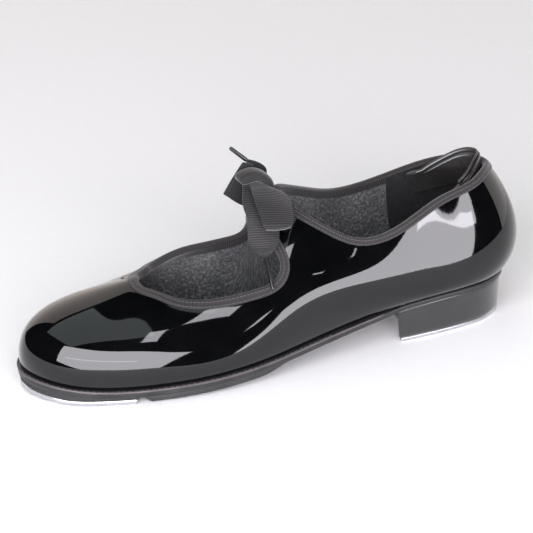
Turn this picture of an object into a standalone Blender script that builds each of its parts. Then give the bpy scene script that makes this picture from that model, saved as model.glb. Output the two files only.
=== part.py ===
# Low-heeled patent tap shoe for the left foot, tied with a grosgrain ribbon through two tabs.
# Work frame of this file: x to the outer (little toe) side, s from the toe tip to the heel, z up, in mm.
# The finished pieces are written in metres with the origin under the middle of the bounding box, toe at -Y.

import math

import bmesh
import bpy
import numpy as np
from mathutils import Vector

# ---------------------------------------------------------------- driving dimensions, mm
MM = 0.001
CENTRE_X = 0.9  # work-frame point that becomes the origin
CENTRE_S = 129.75
GAP = 0.3  # clearance between neighbouring layers
UPPER_THICK = 1.2  # patent coated upper
LINING_THICK = 0.7
REINFORCE_THICK = 0.9  # toe box and heel counter
OUTSOLE_THICK = 3.4
OUTSOLE_HEEL_THICK = 2.4
TAP_THICK = 2.8
BOARD_THICK = 0.9
HEEL_TAP_THICK = 2.4
PAD_FRONT = 49.0  # rubber half sole, along s
PAD_REAR = 127.0
TAP_REAR = 45.0  # rear edge of the toe tap
BREAST = 189.0  # front face of the heel block at its outer corner
BREAST_CENTRE = (-8.6, 144.6)  # the hollow of that face, round about this point
BREAST_RADIUS = 53.2
HEEL_REAR = 251.9
INSOLE_THICK = 1.6
SOCK_THICK = 1.5
BINDING_THICK = 0.5
BINDING_OUT = 3.8  # how far the binding reaches down outside
BINDING_IN = 3.8  # and inside
LINING_JOIN_OUTER = 0.4405  # where the heel lining meets the vamp lining, along the topline
LINING_JOIN_INNER = 0.6155
COLLAR_RISE = 9.4  # padded collar above the back topline
RIBBON_THICK = 0.8
TAB_HOLES = {"left": (13.8, 130.6, 71.7), "right": (-16.2, 132.8, 72.5)}  # middles of the tab eyelets
STRAP_OUT = 0.78  # how far the strap carries on along its legs above the eyelets, as a share of them
STRAP_UP = np.array([0.0, -3.0, 5.7])  # and the lift of its arch
EYELET_BORE = 2.0
EYELET_FLANGE = 3.2
STATIONS = 84  # steps round the shoe in the layered pieces
LEVELS = (0.0, 0.045, 0.12, 0.25, 0.41, 0.58, 0.76, 0.915, 1.0)  # and up the upper

# Feather line seen from above: share of the way round, x, s. Toe first, outer side, heel, inner side.
OUTLINE = [
    (-4.0, 0.0),
    (10.5, 4.2),
    (21.5, 14.5),
    (29.0, 31.0),
    (35.0, 53.0),
    (38.8, 82.0),
    (37.6, 110.0),
    (32.2, 143.0),
    (29.2, 170.0),
    (28.0, 198.0),
    (25.8, 221.5),
    (18.6, 241.4),
    (0.5, 251.9),
    (-17.2, 241.4),
    (-24.4, 221.5),
    (-26.4, 198.0),
    (-24.0, 170.0),
    (-24.0, 143.0),
    (-30.0, 110.0),
    (-36.0, 80.0),
    (-37.0, 53.0),
    (-33.0, 28.0),
    (-25.5, 11.5),
    (-15.5, 3.0),
]
HEEL_POINT = 12  # index of the rearmost point above

# Height of the feather line (top of the outsole) along s.
FLOOR_S = [0, 14, 32, 55, 80, 104, 128, 155, 182, 200, 225, 252]
FLOOR_Z = [11.0, 9.3, 7.9, 7.9, 8.8, 10.6, 13.4, 17.2, 20.9, 22.3, 22.8, 22.6]

# Crest of the last: s, then x and z.
CREST_S = [60, 80, 105, 130, 160, 190, 220]
CREST_XZ = [(-5, 46.0), (-5.5, 53.5), (-5.5, 65), (-4.5, 79), (-3, 96), (-1, 106), (0, 110)]

# Section of the last: u, bulge out, height of it, shoulder in, its height, crest handle length, its drop.
SECTION = [
    (0.000, 3.0, 15.0, 4.0, 31.0, 40.0, 5.5),
    (0.060, 3.2, 15.0, 5.5, 28.5, 36.0, 7.0),
    (0.130, 3.4, 15.0, 7.0, 28.0, 27.0, 6.0),
    (0.200, 3.6, 15.0, 7.0, 30.0, 21.0, 3.0),
    (0.260, 4.3, 24.5, -2.4, 33.3, 18.2, 7.2),
    (0.320, 7.6, 20.8, -3.1, 30.9, 17.8, 23.3),
    (0.380, 9.3, 10.0, 2.8, 24.0, 24.3, 21.6),
    (0.440, 9.2, 10.3, -2.0, 25.3, 20.0, 27.4),
    (0.500, 14.0, 12.0, -12.0, 30.0, 38.0, 30.0),
    (0.560, 8.0, 12.0, -5.0, 29.0, 23.0, 27.0),
    (0.620, 7.0, 12.0, -4.5, 29.0, 28.0, 22.0),
    (0.680, 7.0, 13.0, -3.5, 30.0, 24.0, 14.0),
    (0.740, 4.5, 14.0, 0.0, 30.0, 19.0, 3.0),
    (0.800, 3.6, 15.0, 6.5, 29.5, 23.0, 4.0),
    (0.870, 3.2, 15.0, 8.5, 27.0, 28.0, 7.5),
    (0.940, 3.0, 15.0, 6.5, 28.0, 35.0, 8.0),
]

# Topline on the last: x, s, z near it, and the u of the feather point below it.
TOPLINE = [
    (-5.0, 60.0, 46.5, 0.000),
    (4.0, 60.2, 47.0, 0.045),
    (8.9, 64.5, 45.2, 0.090),
    (15.4, 69.9, 43.8, 0.126),
    (20.3, 77.7, 42.7, 0.155),
    (23.8, 88.0, 42.7, 0.182),
    (26.3, 99.5, 43.9, 0.207),
    (28.3, 110.6, 45.9, 0.230),
    (28.6, 117.8, 48.1, 0.247),
    (26.3, 122.8, 52.6, 0.258),
    (21.7, 124.3, 58.1, 0.265),
    (15.1, 123.2, 63.8, 0.273),
    (8.1, 123.5, 69.0, 0.281),
    (2.9, 125.1, 72.8, 0.287),
    (1.9, 129.4, 75.4, 0.292),
    (4.7, 134.6, 75.8, 0.297),
    (10.3, 140.3, 72.9, 0.302),
    (15.8, 147.0, 68.7, 0.309),
    (20.6, 155.1, 63.7, 0.318),
    (23.9, 165.4, 59.7, 0.332),
    (24.7, 175.9, 59.5, 0.350),
    (24.0, 187.7, 62.5, 0.373),
    (22.1, 199.4, 67.0, 0.396),
    (19.4, 211.2, 70.8, 0.418),
    (17.0, 222.5, 72.7, 0.441),
    (14.9, 231.6, 74.7, 0.462),
    (9.5, 239.8, 77.1, 0.482),
    (-1.0, 246.5, 77.6, 0.502),
    (-9.0, 241.0, 76.6, 0.522),
    (-14.5, 232.0, 75.4, 0.541),
    (-19.0, 221.0, 73.6, 0.562),
    (-22.6, 209.0, 69.0, 0.585),
    (-25.0, 196.0, 64.6, 0.610),
    (-25.6, 183.0, 63.2, 0.634),
    (-24.4, 170.5, 64.8, 0.657),
    (-21.6, 159.0, 69.0, 0.676),
    (-17.8, 149.0, 73.2, 0.690),
    (-14.0, 141.0, 77.0, 0.700),
    (-10.5, 135.0, 79.0, 0.707),
    (-8.4, 129.0, 78.6, 0.713),
    (-9.2, 124.4, 75.4, 0.719),
    (-12.8, 123.4, 70.5, 0.726),
    (-17.4, 125.6, 64.0, 0.734),
    (-21.4, 127.0, 57.5, 0.742),
    (-24.2, 125.0, 52.0, 0.750),
    (-25.4, 115.0, 49.6, 0.766),
    (-24.6, 103.0, 49.0, 0.789),
    (-22.6, 91.0, 49.0, 0.813),
    (-19.6, 79.0, 49.0, 0.842),
    (-15.6, 70.2, 48.4, 0.880),
    (-10.8, 63.2, 47.4, 0.935),
]


# ---------------------------------------------------------------- smooth curves
def spline(knots, values, period=None):
    """C2 cubic spline through the knots, natural at its ends or repeating with a period."""
    t = np.asarray(knots, float)
    y = np.asarray(values, float)
    if y.ndim == 1:
        y = y[:, None]
    n = len(t)
    matrix = np.zeros((n, n))
    right = np.zeros_like(y)
    if period is None:
        matrix[0, 0] = 1.0
        matrix[-1, -1] = 1.0
        for i in range(1, n - 1):
            before = t[i] - t[i - 1]
            after = t[i + 1] - t[i]
            matrix[i, i - 1 : i + 2] = (before, 2 * (before + after), after)
            right[i] = 6 * ((y[i + 1] - y[i]) / after - (y[i] - y[i - 1]) / before)
        bend = np.linalg.solve(matrix, right)
    else:
        t = np.append(t, t[0] + period)
        y = np.vstack([y, y[:1]])
        for i in range(n):
            k = i - 1 if i else n - 1
            before = t[k + 1] - t[k]
            after = t[i + 1] - t[i]
            matrix[i, k] += before
            matrix[i, i] += 2 * (before + after)
            matrix[i, (i + 1) % n] += after
            right[i] = 6 * ((y[i + 1] - y[i]) / after - (y[k + 1] - y[k]) / before)
        bend = np.linalg.solve(matrix, right)
        bend = np.vstack([bend, bend[:1]])

    def at(x):
        x = np.atleast_1d(np.asarray(x, float))
        if period is not None:
            x = (x - t[0]) % period + t[0]
        i = np.clip(np.searchsorted(t, x, side="right") - 1, 0, len(t) - 2)
        step = (t[i + 1] - t[i])[:, None]
        a = (t[i + 1] - x)[:, None] / step
        b = (x - t[i])[:, None] / step
        cubic = (a**3 - a) * bend[i] + (b**3 - b) * bend[i + 1]
        return a * y[i] + b * y[i + 1] + cubic * step**2 / 6

    return at


def rounded_max(a, b, radius):
    return 0.5 * (a + b + np.sqrt((a - b) ** 2 + radius**2))


def rounded_min(a, b, radius):
    return 0.5 * (a + b - np.sqrt((a - b) ** 2 + radius**2))


def ease(x):
    x = np.clip(x, 0.0, 1.0)
    return x * x * (3 - 2 * x)


# ---------------------------------------------------------------- the last
def outline_curve():
    points = np.array(OUTLINE, float)
    closed = np.vstack([points, points[:1]])
    run = np.concatenate([[0], np.cumsum(np.linalg.norm(np.diff(closed, axis=0), axis=1))])
    return spline(run[:-1], points, run[-1]), run[HEEL_POINT], run[-1]


OUTLINE_AT, HEEL_RUN, FULL_RUN = outline_curve()
FLOOR_AT = spline(FLOOR_S, FLOOR_Z)
CREST_AT = spline(CREST_S, CREST_XZ)
SECTION_AT = spline([row[0] for row in SECTION], [row[1:] for row in SECTION], 1.0)


def outline(u):
    """Feather line, u = 0 at the toe, 0.5 at the heel, 1 at the toe again by the inner side."""
    u = np.atleast_1d(u) % 1.0
    front = u / 0.5 * HEEL_RUN
    back = HEEL_RUN + (u - 0.5) / 0.5 * (FULL_RUN - HEEL_RUN)
    return OUTLINE_AT(np.where(u < 0.5, front, back))


def floor_z(s):
    return FLOOR_AT(np.clip(s, 0, 252))[:, 0]


def last(u, w, out=0.0):
    """Point of the last at u round the shoe and w up the section, moved out along its normal by out."""
    u, w, out = np.broadcast_arrays(np.asarray(u, float), np.asarray(w, float), np.asarray(out, float))
    point = last_surface(u, w)
    if not np.any(out):
        return point
    along = last_surface(u + 1e-4, w) - last_surface(u - 1e-4, w)
    up = last_surface(u, w + 1e-4) - last_surface(u, w - 1e-4)
    normal = np.cross(along, up)
    normal /= np.linalg.norm(normal, axis=-1, keepdims=True)
    return point + normal * out[..., None]


def last_surface(u, w):
    shape = u.shape
    u = u.ravel()
    w = w.ravel()
    foot = outline(u)
    s = rounded_min(rounded_max(foot[:, 1], 66.0, 14.0), 214.0, 14.0)
    crest = CREST_AT(s)
    inward = np.stack([crest[:, 0], s], 1) - foot
    reach = np.linalg.norm(inward, axis=1)
    inward /= reach[:, None]
    top = crest[:, 1]
    bottom = floor_z(foot[:, 1])
    bulge, bulge_up, shoulder, shoulder_up, handle, drop = SECTION_AT(u % 1.0).T
    levels = [
        (0 * reach, bottom),
        (-bulge, bottom + bulge_up),
        (shoulder, bottom + shoulder_up),
        (reach - handle, top - drop),
        (reach, top),
    ]
    v = 1 - w
    weights = [v**4, 4 * w * v**3, 6 * w**2 * v**2, 4 * w**3 * v, w**4]
    n = sum(a * level[0] for a, level in zip(weights, levels))
    z = sum(a * level[1] for a, level in zip(weights, levels))
    # The upper turns under at the feather line.
    n = n + 1.6 * np.exp(-np.clip(z - bottom, 0, None) / 1.3)
    point = np.concatenate([foot + inward * n[:, None], z[:, None]], 1)
    return point.reshape(shape + (3,))


def on_last(targets):
    """(u, w) of the points of the last nearest to the targets."""
    u, w = np.meshgrid(np.arange(600) / 600, np.linspace(0.2, 1, 201), indexing="ij")
    grid = last(u, w)
    found = []
    for target in targets:
        gap = np.linalg.norm(grid - np.array(target), axis=-1)
        i, j = np.unravel_index(np.argmin(gap), gap.shape)
        guess = np.array([u[i, j], w[i, j]])
        for _ in range(4):
            here = last(guess[0], guess[1])
            du = (last(guess[0] + 1e-4, guess[1]) - here) / 1e-4
            dw = (last(guess[0], guess[1] + 1e-4) - here) / 1e-4
            step = np.linalg.lstsq(np.stack([du, dw], 1), np.array(target) - here, rcond=None)[0]
            guess = guess + np.clip(step, -0.02, 0.02)
        found.append(guess)
    return np.array(found)


def topline_curve():
    rows = np.array(TOPLINE)
    top = on_last(rows[:, :3])
    for i in range(1, len(top)):
        top[i, 0] += round(rows[i, 3] - top[i, 0])
    top[0, 0] -= round(top[0, 0])
    point = last(top[:, 0], top[:, 1])
    closed = np.vstack([point, point[:1]])
    run = np.concatenate([[0], np.cumsum(np.linalg.norm(np.diff(closed, axis=0), axis=1))])
    share = run / run[-1]
    # The seam at the throat vertex: u goes on to 1, so each u column is unrolled before it is smoothed.
    unrolled = np.column_stack([top[:, 0] - share[:-1], top[:, 1], rows[:, 3] - share[:-1]])
    return spline(share[:-1], unrolled, 1.0)


TOPLINE_AT = topline_curve()


def edge_uw(t):
    """At t round the topline: u and w of the edge, and u of the feather point below it."""
    value = TOPLINE_AT(t)
    return value[:, 0] + t, value[:, 1], value[:, 2] + t


def column_uw(t, v):
    """Grid of the upper: t round the topline, v from the feather line up to the topline."""
    u_top, w_top, u_bottom = edge_uw(t)
    v = np.atleast_1d(v)[None, :]
    return u_bottom[:, None] * (1 - v) + u_top[:, None] * v, w_top[:, None] * v


def edge_point(t, down, out):
    """Point of the topline at t, moved down the surface and out along its normal."""
    u, w, _ = edge_uw(t)
    u2, w2, _ = edge_uw(t + 1e-4)
    here = last(u, w)
    run = last(u2, w2) - here
    run /= np.linalg.norm(run, axis=-1, keepdims=True)
    du = (last(u + 1e-4, w) - here) / 1e-4
    dw = (last(u, w + 1e-4) - here) / 1e-4
    normal = np.cross(du, dw)
    normal /= np.linalg.norm(normal, axis=-1, keepdims=True)
    drop = np.cross(run, normal)
    drop *= -np.sign(np.sum(drop * dw, axis=-1, keepdims=True))
    # Metric of the surface turns the drop into steps of u and w.
    uu = np.sum(du * du, -1)
    uw = np.sum(du * dw, -1)
    ww = np.sum(dw * dw, -1)
    bu = np.sum(du * drop, -1)
    bw = np.sum(dw * drop, -1)
    det = uu * ww - uw * uw
    step_u = (ww * bu - uw * bw) / det
    step_w = (uu * bw - uw * bu) / det
    return last(u + step_u * down, w + step_w * down, out)


def station_steps():
    """Places t round the shoe, evenly spread over the topline and the feather line together."""
    t = np.linspace(0, 1, 4001)
    u, w, foot = edge_uw(t)
    run = np.linalg.norm(np.diff(last(u, w), axis=0), axis=1)
    run = run + 1.15 * np.linalg.norm(np.diff(last(foot, 0 * foot), axis=0), axis=1)
    total = np.concatenate([[0], np.cumsum(run)])
    return np.interp(np.arange(STATIONS) / STATIONS * total[-1], total, t)


STEPS = station_steps()


def steps_between(first, end):
    """The shared stations between two places, with the two places themselves as the ends."""
    many = np.concatenate([STEPS - 1.0, STEPS])
    inner = many[(many > first + 0.003) & (many < end - 0.003)]
    return np.concatenate([[first], inner, [end]])


# ---------------------------------------------------------------- making objects
def clear_scene():
    for obj in list(bpy.data.objects):
        bpy.data.objects.remove(obj, do_unlink=True)
    for data in (bpy.data.meshes, bpy.data.materials, bpy.data.curves):
        for item in list(data):
            data.remove(item)


def material(name, colour, roughness, metallic=0.0, coat=0.0):
    made = bpy.data.materials.get(name)
    if made:
        return made
    made = bpy.data.materials.new(name)
    made.use_nodes = True
    shader = made.node_tree.nodes["Principled BSDF"]
    shader.inputs["Base Color"].default_value = (*colour, 1.0)
    shader.inputs["Roughness"].default_value = roughness
    shader.inputs["Metallic"].default_value = metallic
    shader.inputs["Coat Weight"].default_value = coat
    made.diffuse_color = (*colour, 1.0)
    return made


def to_world(points):
    points = np.asarray(points, float)
    return (points - np.array([CENTRE_X, CENTRE_S, 0.0])) * MM


def add_object(name, bm, surface, origin=None, smooth=35.0):
    """Writes the bmesh, in mm of the work frame, as an object in metres with its origin at the given point."""
    origin = np.zeros(3) if origin is None else np.asarray(origin, float)
    base = to_world(origin) if origin.any() else np.zeros(3)
    for vert in bm.verts:
        vert.co = Vector(to_world(np.array(vert.co)) - base)
    bmesh.ops.recalc_face_normals(bm, faces=bm.faces)
    mesh = bpy.data.meshes.new(name)
    bm.to_mesh(mesh)
    bm.free()
    obj = bpy.data.objects.new(name, mesh)
    obj.location = Vector(base)
    bpy.context.scene.collection.objects.link(obj)
    mesh.materials.append(surface)
    mesh.polygons.foreach_set("use_smooth", [True] * len(mesh.polygons))
    mesh.set_sharp_from_angle(angle=math.radians(smooth))
    return obj


def shell(name, rows, surface, closed=True, origin=None, smooth=35.0, outer=0):
    """Closed body from rows[i][j]: i runs round the shoe, j round the section of the body.

    With outer points on the outer side of a layer, both sides are split along the same diagonals."""
    rows = np.asarray(rows, float)
    count, ring, _ = rows.shape
    bm = bmesh.new()
    verts = [[bm.verts.new(p) for p in row] for row in rows]
    last_row = count if closed else count - 1
    for i in range(last_row):
        k = (i + 1) % count
        for j in range(ring):
            m = (j + 1) % ring
            a, b, c, d = verts[i][j], verts[i][m], verts[k][m], verts[k][j]
            if not outer:
                bm.faces.new((a, b, c, d))
            elif j < outer - 1:
                bm.faces.new((a, b, c))
                bm.faces.new((a, c, d))
            else:
                bm.faces.new((a, b, d))
                bm.faces.new((b, c, d))
    if not closed:
        for row in (verts[0], verts[-1]):
            cap_section(bm, row)
    return add_object(name, bm, surface, origin, smooth)


def cap_section(bm, row):
    """Closes a section ring with quads between its two sides."""
    low = 0
    high = len(row) - 1
    while high - low > 2:
        bm.faces.new((row[low], row[low + 1], row[high - 1], row[high]))
        low += 1
        high -= 1
    if high - low == 2:
        bm.faces.new((row[low], row[low + 1], row[high]))


def layer_rows(u, w, outer, inner):
    """Section rings of a layer between two offsets of the last."""
    outside = last(u, w, outer)
    inside = last(u, w, inner)
    return np.concatenate([outside, inside[:, ::-1]], axis=1)


def plate(name, stations, section, surface, origin=None, smooth=35.0):
    """Closed plate from sections across it: section(s) gives its ring of (x, z) points."""
    rows = []
    for s in stations:
        rows.append([(x, s, z) for x, z in section(s)])
    return shell(name, rows, surface, closed=False, origin=origin, smooth=smooth)


def frustum(bm, centre, radius_a, radius_b, z_a, z_b, steps=20):
    made = bmesh.ops.create_cone(
        bm, cap_ends=True, segments=steps, radius1=radius_a, radius2=radius_b, depth=z_b - z_a
    )
    for vert in made["verts"]:
        vert.co += Vector((centre[0], centre[1], (z_a + z_b) / 2))
    return made["verts"]


def cut(obj, cutter):
    change = obj.modifiers.new("cut", "BOOLEAN")
    change.operation = "DIFFERENCE"
    change.solver = "EXACT"
    change.object = cutter


def cutter_object(name, bm):
    obj = add_object(name, bm, material("cutter", (0.5, 0.5, 0.5), 0.5))
    obj.hide_render = True
    obj.display_type = "WIRE"
    return obj


# ---------------------------------------------------------------- plan outlines of the bottom
def side_curves():
    u = np.linspace(0, 1, 2001)
    curve = outline(u)
    tip = int(np.argmin(curve[:, 1]))
    heel = int(np.argmax(curve[:, 1]))
    if tip > 1000:
        outer = np.concatenate([curve[tip:-1], curve[: heel + 1]])
        inner = curve[heel : tip + 1][::-1]
    else:
        outer = curve[tip : heel + 1]
        inner = np.concatenate([curve[heel:-1], curve[: tip + 1]])[::-1]
    return outer, inner


def offset_curve(curve, amount):
    run = np.gradient(curve, axis=0)
    run /= np.linalg.norm(run, axis=1)[:, None] + 1e-12
    return curve + np.stack([run[:, 1], -run[:, 0]], 1) * amount


OUTER_SIDE, INNER_SIDE = side_curves()


def plan(inset):
    """(first s, last s, x of the outer side, x of the inner side) of the feather line moved in by inset."""
    outer = offset_curve(OUTER_SIDE, -inset)
    inner = offset_curve(INNER_SIDE, inset)
    first = max(outer[:, 1].min(), inner[:, 1].min())
    end = min(outer[:, 1].max(), inner[:, 1].max())

    def outer_x(s):
        return float(np.interp(s, outer[:, 1], outer[:, 0]))

    def inner_x(s):
        return float(np.interp(s, inner[:, 1], inner[:, 0]))

    return first, end, outer_x, inner_x


def toe_to_heel(first, end, count):
    """Stations along s, close together at both ends."""
    angle = np.linspace(0.06, math.pi - 0.06, count)
    return first + (end - first) * (1 - np.cos(angle)) / 2


def toe_dense(first, end, count):
    angle = np.linspace(0.1, math.pi / 2, count)
    return first + (end - first) * (1 - np.cos(angle))


def heel_dense(first, end, count):
    angle = np.linspace(0.0, math.pi / 2 - 0.1, count)
    return first + (end - first) * np.sin(angle)


def slab(outer_x, inner_x, low, high, edge=0.4, across=5):
    """Section of a plate between two heights with its edges broken by a small chamfer."""

    def section(s):
        a = inner_x(s)
        b = outer_x(s)
        z0 = low(s)
        z1 = high(s)
        e = min(edge, (z1 - z0) * 0.35, (b - a) * 0.2)
        ring = [(a, z0 + e), (a + e, z0)]
        ring += [(x, z0) for x in np.linspace(a + e, b - e, across)[1:-1]]
        ring += [(b - e, z0), (b, z0 + e), (b, z1 - e), (b - e, z1)]
        ring += [(x, z1) for x in np.linspace(b - e, a + e, across)[1:-1]]
        ring += [(a + e, z1), (a, z1 - e)]
        return ring

    return section


def sole_top(s):
    return float(floor_z(np.array([s]))[0]) - GAP


def sole_thickness(s):
    return OUTSOLE_THICK + (OUTSOLE_HEEL_THICK - OUTSOLE_THICK) * float(ease((s - 150) / 45))


def sole_bottom(s):
    return sole_top(s) - sole_thickness(s)


# ---------------------------------------------------------------- materials
def colours():
    return {
        "patent": material("black_patent", (0.006, 0.006, 0.007), 0.06, 0.0, 1.0),
        "lining": material("grey_knit_lining", (0.055, 0.058, 0.060), 0.9),
        "heel_lining": material("black_heel_lining", (0.010, 0.011, 0.012), 0.55),
        "binding": material("black_ribbed_binding", (0.014, 0.014, 0.015), 0.75),
        "vinyl": material("black_padded_vinyl", (0.012, 0.012, 0.013), 0.32),
        "ribbon": material("black_grosgrain_ribbon", (0.012, 0.012, 0.013), 0.7),
        "plastic": material("black_plastic_tip", (0.010, 0.010, 0.011), 0.3),
        "board": material("brown_fibre_board", (0.20, 0.13, 0.08), 0.85),
        "tap_board": material("black_fibre_board", (0.020, 0.020, 0.021), 0.7),
        "filler": material("cork_filler", (0.28, 0.17, 0.09), 0.95),
        "sock": material("grey_sock_foam", (0.045, 0.047, 0.049), 0.92),
        "outsole": material("black_resin_outsole", (0.018, 0.018, 0.019), 0.42),
        "rubber": material("black_rubber_pad", (0.022, 0.022, 0.023), 0.62),
        "heel": material("black_gloss_heel", (0.012, 0.012, 0.013), 0.28),
        "tap": material("cast_aluminium_tap", (0.80, 0.80, 0.80), 0.30, 1.0),
        "steel": material("zinc_plated_steel", (0.62, 0.62, 0.63), 0.32, 1.0),
        "shank": material("blued_spring_steel", (0.20, 0.21, 0.24), 0.38, 1.0),
        "stiffener": material("grey_thermoplastic_stiffener", (0.35, 0.34, 0.32), 0.8),
        "eyelet": material("black_enamelled_eyelet", (0.015, 0.015, 0.016), 0.30, 0.0),
    }


# ---------------------------------------------------------------- upper assembly
def build_upper(looks):
    u, w = column_uw(STEPS, LEVELS)
    outside = last(u, w, 0.0)
    inside = last(u, w, -UPPER_THICK)
    foot = outside[:, 0]
    margin_low = margin_point(foot, 9.0, 0.0)
    margin_high = margin_point(foot, 9.0, UPPER_THICK)
    corner = margin_point(foot, UPPER_THICK * 0.9, UPPER_THICK)
    rows = [outside, inside[:, :1:-1], corner[:, None], margin_high[:, None], margin_low[:, None]]
    return shell("upper", np.concatenate(rows, axis=1), looks["patent"], outer=len(LEVELS))


def margin_point(foot, inward, up):
    """Point of the turned-under lasting margin, measured in from the feather line."""
    middle = np.stack([0 * foot[:, 0] - 1.0, np.clip(foot[:, 1], 40, 225)], 1)
    run = middle - foot[:, :2]
    length = np.linalg.norm(run, axis=1)[:, None]
    point = foot.copy()
    point[:, :2] += run / length * inward
    point[:, 2] = floor_z(point[:, 1]) + up
    return point


def reinforced(u, v):
    """Extra depth of the linings where the toe box or the heel counter lies behind the upper."""
    toe = np.abs((u + 0.5) % 1.0 - 0.5)
    heel = np.abs(u % 1.0 - 0.5)
    ends = np.maximum(1 - ease((toe - 0.155) / 0.04), 1 - ease((heel - 0.12) / 0.035))
    return (REINFORCE_THICK + GAP + 0.05) * ends * (1 - ease((v - 0.60) / 0.17))


def lining_rows(t):
    v = np.array(LEVELS[2:])
    u, w = column_uw(t, v)
    outer = -(UPPER_THICK + GAP) - reinforced(u, v[None, :])
    return layer_rows(u, w, outer, outer - LINING_THICK)


def build_linings(looks):
    rows = lining_rows(steps_between(LINING_JOIN_INNER - 1.0, LINING_JOIN_OUTER))
    vamp = shell("vamp_lining", rows, looks["lining"], closed=False, outer=len(LEVELS) - 2)
    rows = lining_rows(steps_between(LINING_JOIN_OUTER + 0.0007, LINING_JOIN_INNER - 0.0007))
    shell("heel_lining", rows, looks["heel_lining"], closed=False, outer=len(LEVELS) - 2)
    return vamp


def build_stiffeners(looks):
    deep = -(UPPER_THICK + GAP)
    for name, first, end, rows in (("toe_box", -0.036, 0.036, 6), ("heel_counter", 0.452, 0.602, 6)):
        u, w = column_uw(steps_between(first, end), LEVELS[2:rows])
        layer = layer_rows(u, w, deep, deep - REINFORCE_THICK)
        shell(name, layer, looks["stiffener"], closed=False, outer=rows - 2)


def tab_hole_frame(place):
    """Middle of an eyelet on the last and its outward normal."""
    u, w = on_last([place])[0]
    here = last(u, w)
    normal = last(u, w, 1.0) - here
    return here, normal / np.linalg.norm(normal)


def along_axis(name, middle, normal, profile, steps, surface=None):
    """Turned body about a tab hole's axis: profile holds (radius, height) round its section."""
    side = np.cross(normal, (0.2, 0.9, 0.1))
    side /= np.linalg.norm(side)
    other = np.cross(normal, side)
    rows = []
    for k in range(steps):
        angle = 2 * math.pi * k / steps
        spoke = side * math.cos(angle) + other * math.sin(angle)
        rows.append([middle + spoke * radius + normal * height for radius, height in profile])
    return shell(name, rows, surface or material("cutter", (0.5, 0.5, 0.5), 0.5))


def build_tab_eyelets(looks, pieces):
    """Enamelled eyelets that the ribbon passes through, one in each tab."""
    for side, place in TAB_HOLES.items():
        middle, normal = tab_hole_frame(place)
        flange = [(EYELET_BORE, 0.75), (EYELET_BORE + 0.45, 1.05), (EYELET_FLANGE, 0.85), (EYELET_FLANGE, 0.55)]
        barrel = [(EYELET_BORE + 0.5, 0.45), (EYELET_BORE + 0.5, -2.9), (EYELET_BORE, -2.9)]
        along_axis("tab_eyelet_" + side, middle, normal, flange + barrel, 14, looks["eyelet"])
        bm = bmesh.new()
        frustum(bm, (0, 0, 0), EYELET_BORE + 0.8, EYELET_BORE + 0.8, -4.5, 4.5, 14)
        turn = Vector((0, 0, 1)).rotation_difference(Vector(normal)).to_matrix()
        for vert in bm.verts:
            vert.co = turn @ vert.co + Vector(middle)
        cutter = cutter_object("tab_hole_" + side, bm)
        cut(pieces["upper"], cutter)
        cut(pieces["vamp_lining"], cutter)


def build_binding(looks):
    t = STEPS
    stack = UPPER_THICK + GAP + LINING_THICK
    outside = GAP + 0.1
    inside = -(stack + GAP + 0.45)
    thick = BINDING_THICK
    ring = [
        (BINDING_OUT, outside),
        (BINDING_OUT, outside + thick),
        (-0.2, outside + thick),
        (-0.9, (outside + inside) / 2),
        (-0.2, inside - thick),
        (BINDING_IN, inside - thick),
        (BINDING_IN, inside),
        (-0.25, inside),
        (-0.25, outside),
    ]
    rows = np.stack([edge_point(t, down, out) for down, out in ring], axis=1)
    shell("topline_binding", rows, looks["binding"])


def collar_point(t, down, out):
    """Point below the edge on the last, or above it on the collar, which stands nearly upright."""
    low = edge_point(t, np.maximum(down, 0.0), out)
    level = edge_point(t, 0.0 * t, out) - edge_point(t, 0.0 * t, out - 1.0)
    level[:, 2] = 0.0
    lift = np.clip(-down, 0.0, None)[:, None]
    return low + lift * (np.array([0.0, 0.0, 1.0]) - 0.12 * level)


def collar_height(t):
    """How far the padded collar stands above the topline: nothing at its ends, most at the back."""
    back = 0.522
    side = np.where(t < back, (back - t) / 0.078, (t - back) / 0.074)
    return COLLAR_RISE * np.clip(1 - np.abs(side) ** 1.6, 0, None) - 1.2


def build_collar(looks):
    t = np.linspace(0.448, 0.604, 25)
    rise = collar_height(t)
    stack = -(UPPER_THICK + GAP + LINING_THICK + BINDING_THICK + 1.25)
    end = np.clip(np.minimum(t - t[0], t[-1] - t) / 0.02, 0, 1) ** 0.5
    thick = 0.9 + 3.0 * end
    rows = []
    low = 15.0
    for share, depth in [
        (0.0, 0.0), (1.0, 0.0), (1.75, 0.0), (2.0, 0.25), (2.0, 0.75), (1.75, 1.0), (1.0, 0.97), (0.0, 0.3),
    ]:
        down = low * max(1 - share, 0.0) - rise * max(share - 1, 0.0)
        rows.append(collar_point(t, down, stack - depth * thick))
    shell("collar_pad", np.stack(rows, axis=1), looks["vinyl"], closed=False)
    t = np.linspace(0.459, 0.593, 31)
    rise = collar_height(t)
    thick = 3.9
    rows = []
    for k in range(6):
        angle = 2 * math.pi * k / 6
        down = -rise - 1.35 - 1.0 * math.cos(angle)
        rows.append(collar_point(t, down, stack - thick / 2 + 1.0 * math.sin(angle)))
    shell("collar_piping", np.stack(rows, axis=1), looks["vinyl"], closed=False)


# ---------------------------------------------------------------- bottom assembly
def build_outsole(looks):
    first, end, outer_x, inner_x = plan(-0.9)
    heel_end = plan(0.6)[1]

    def seat(side):
        """The edge draws in under the heel seat, where the upper sits straight on the block."""
        return lambda s: side(s) * (1 - 0.055 * float(ease((s - 172) / 18)))

    section = slab(seat(outer_x), seat(inner_x), sole_bottom, sole_top, 0.6, 5)
    return plate("outsole", toe_to_heel(first, heel_end, 36), section, looks["outsole"])


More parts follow.
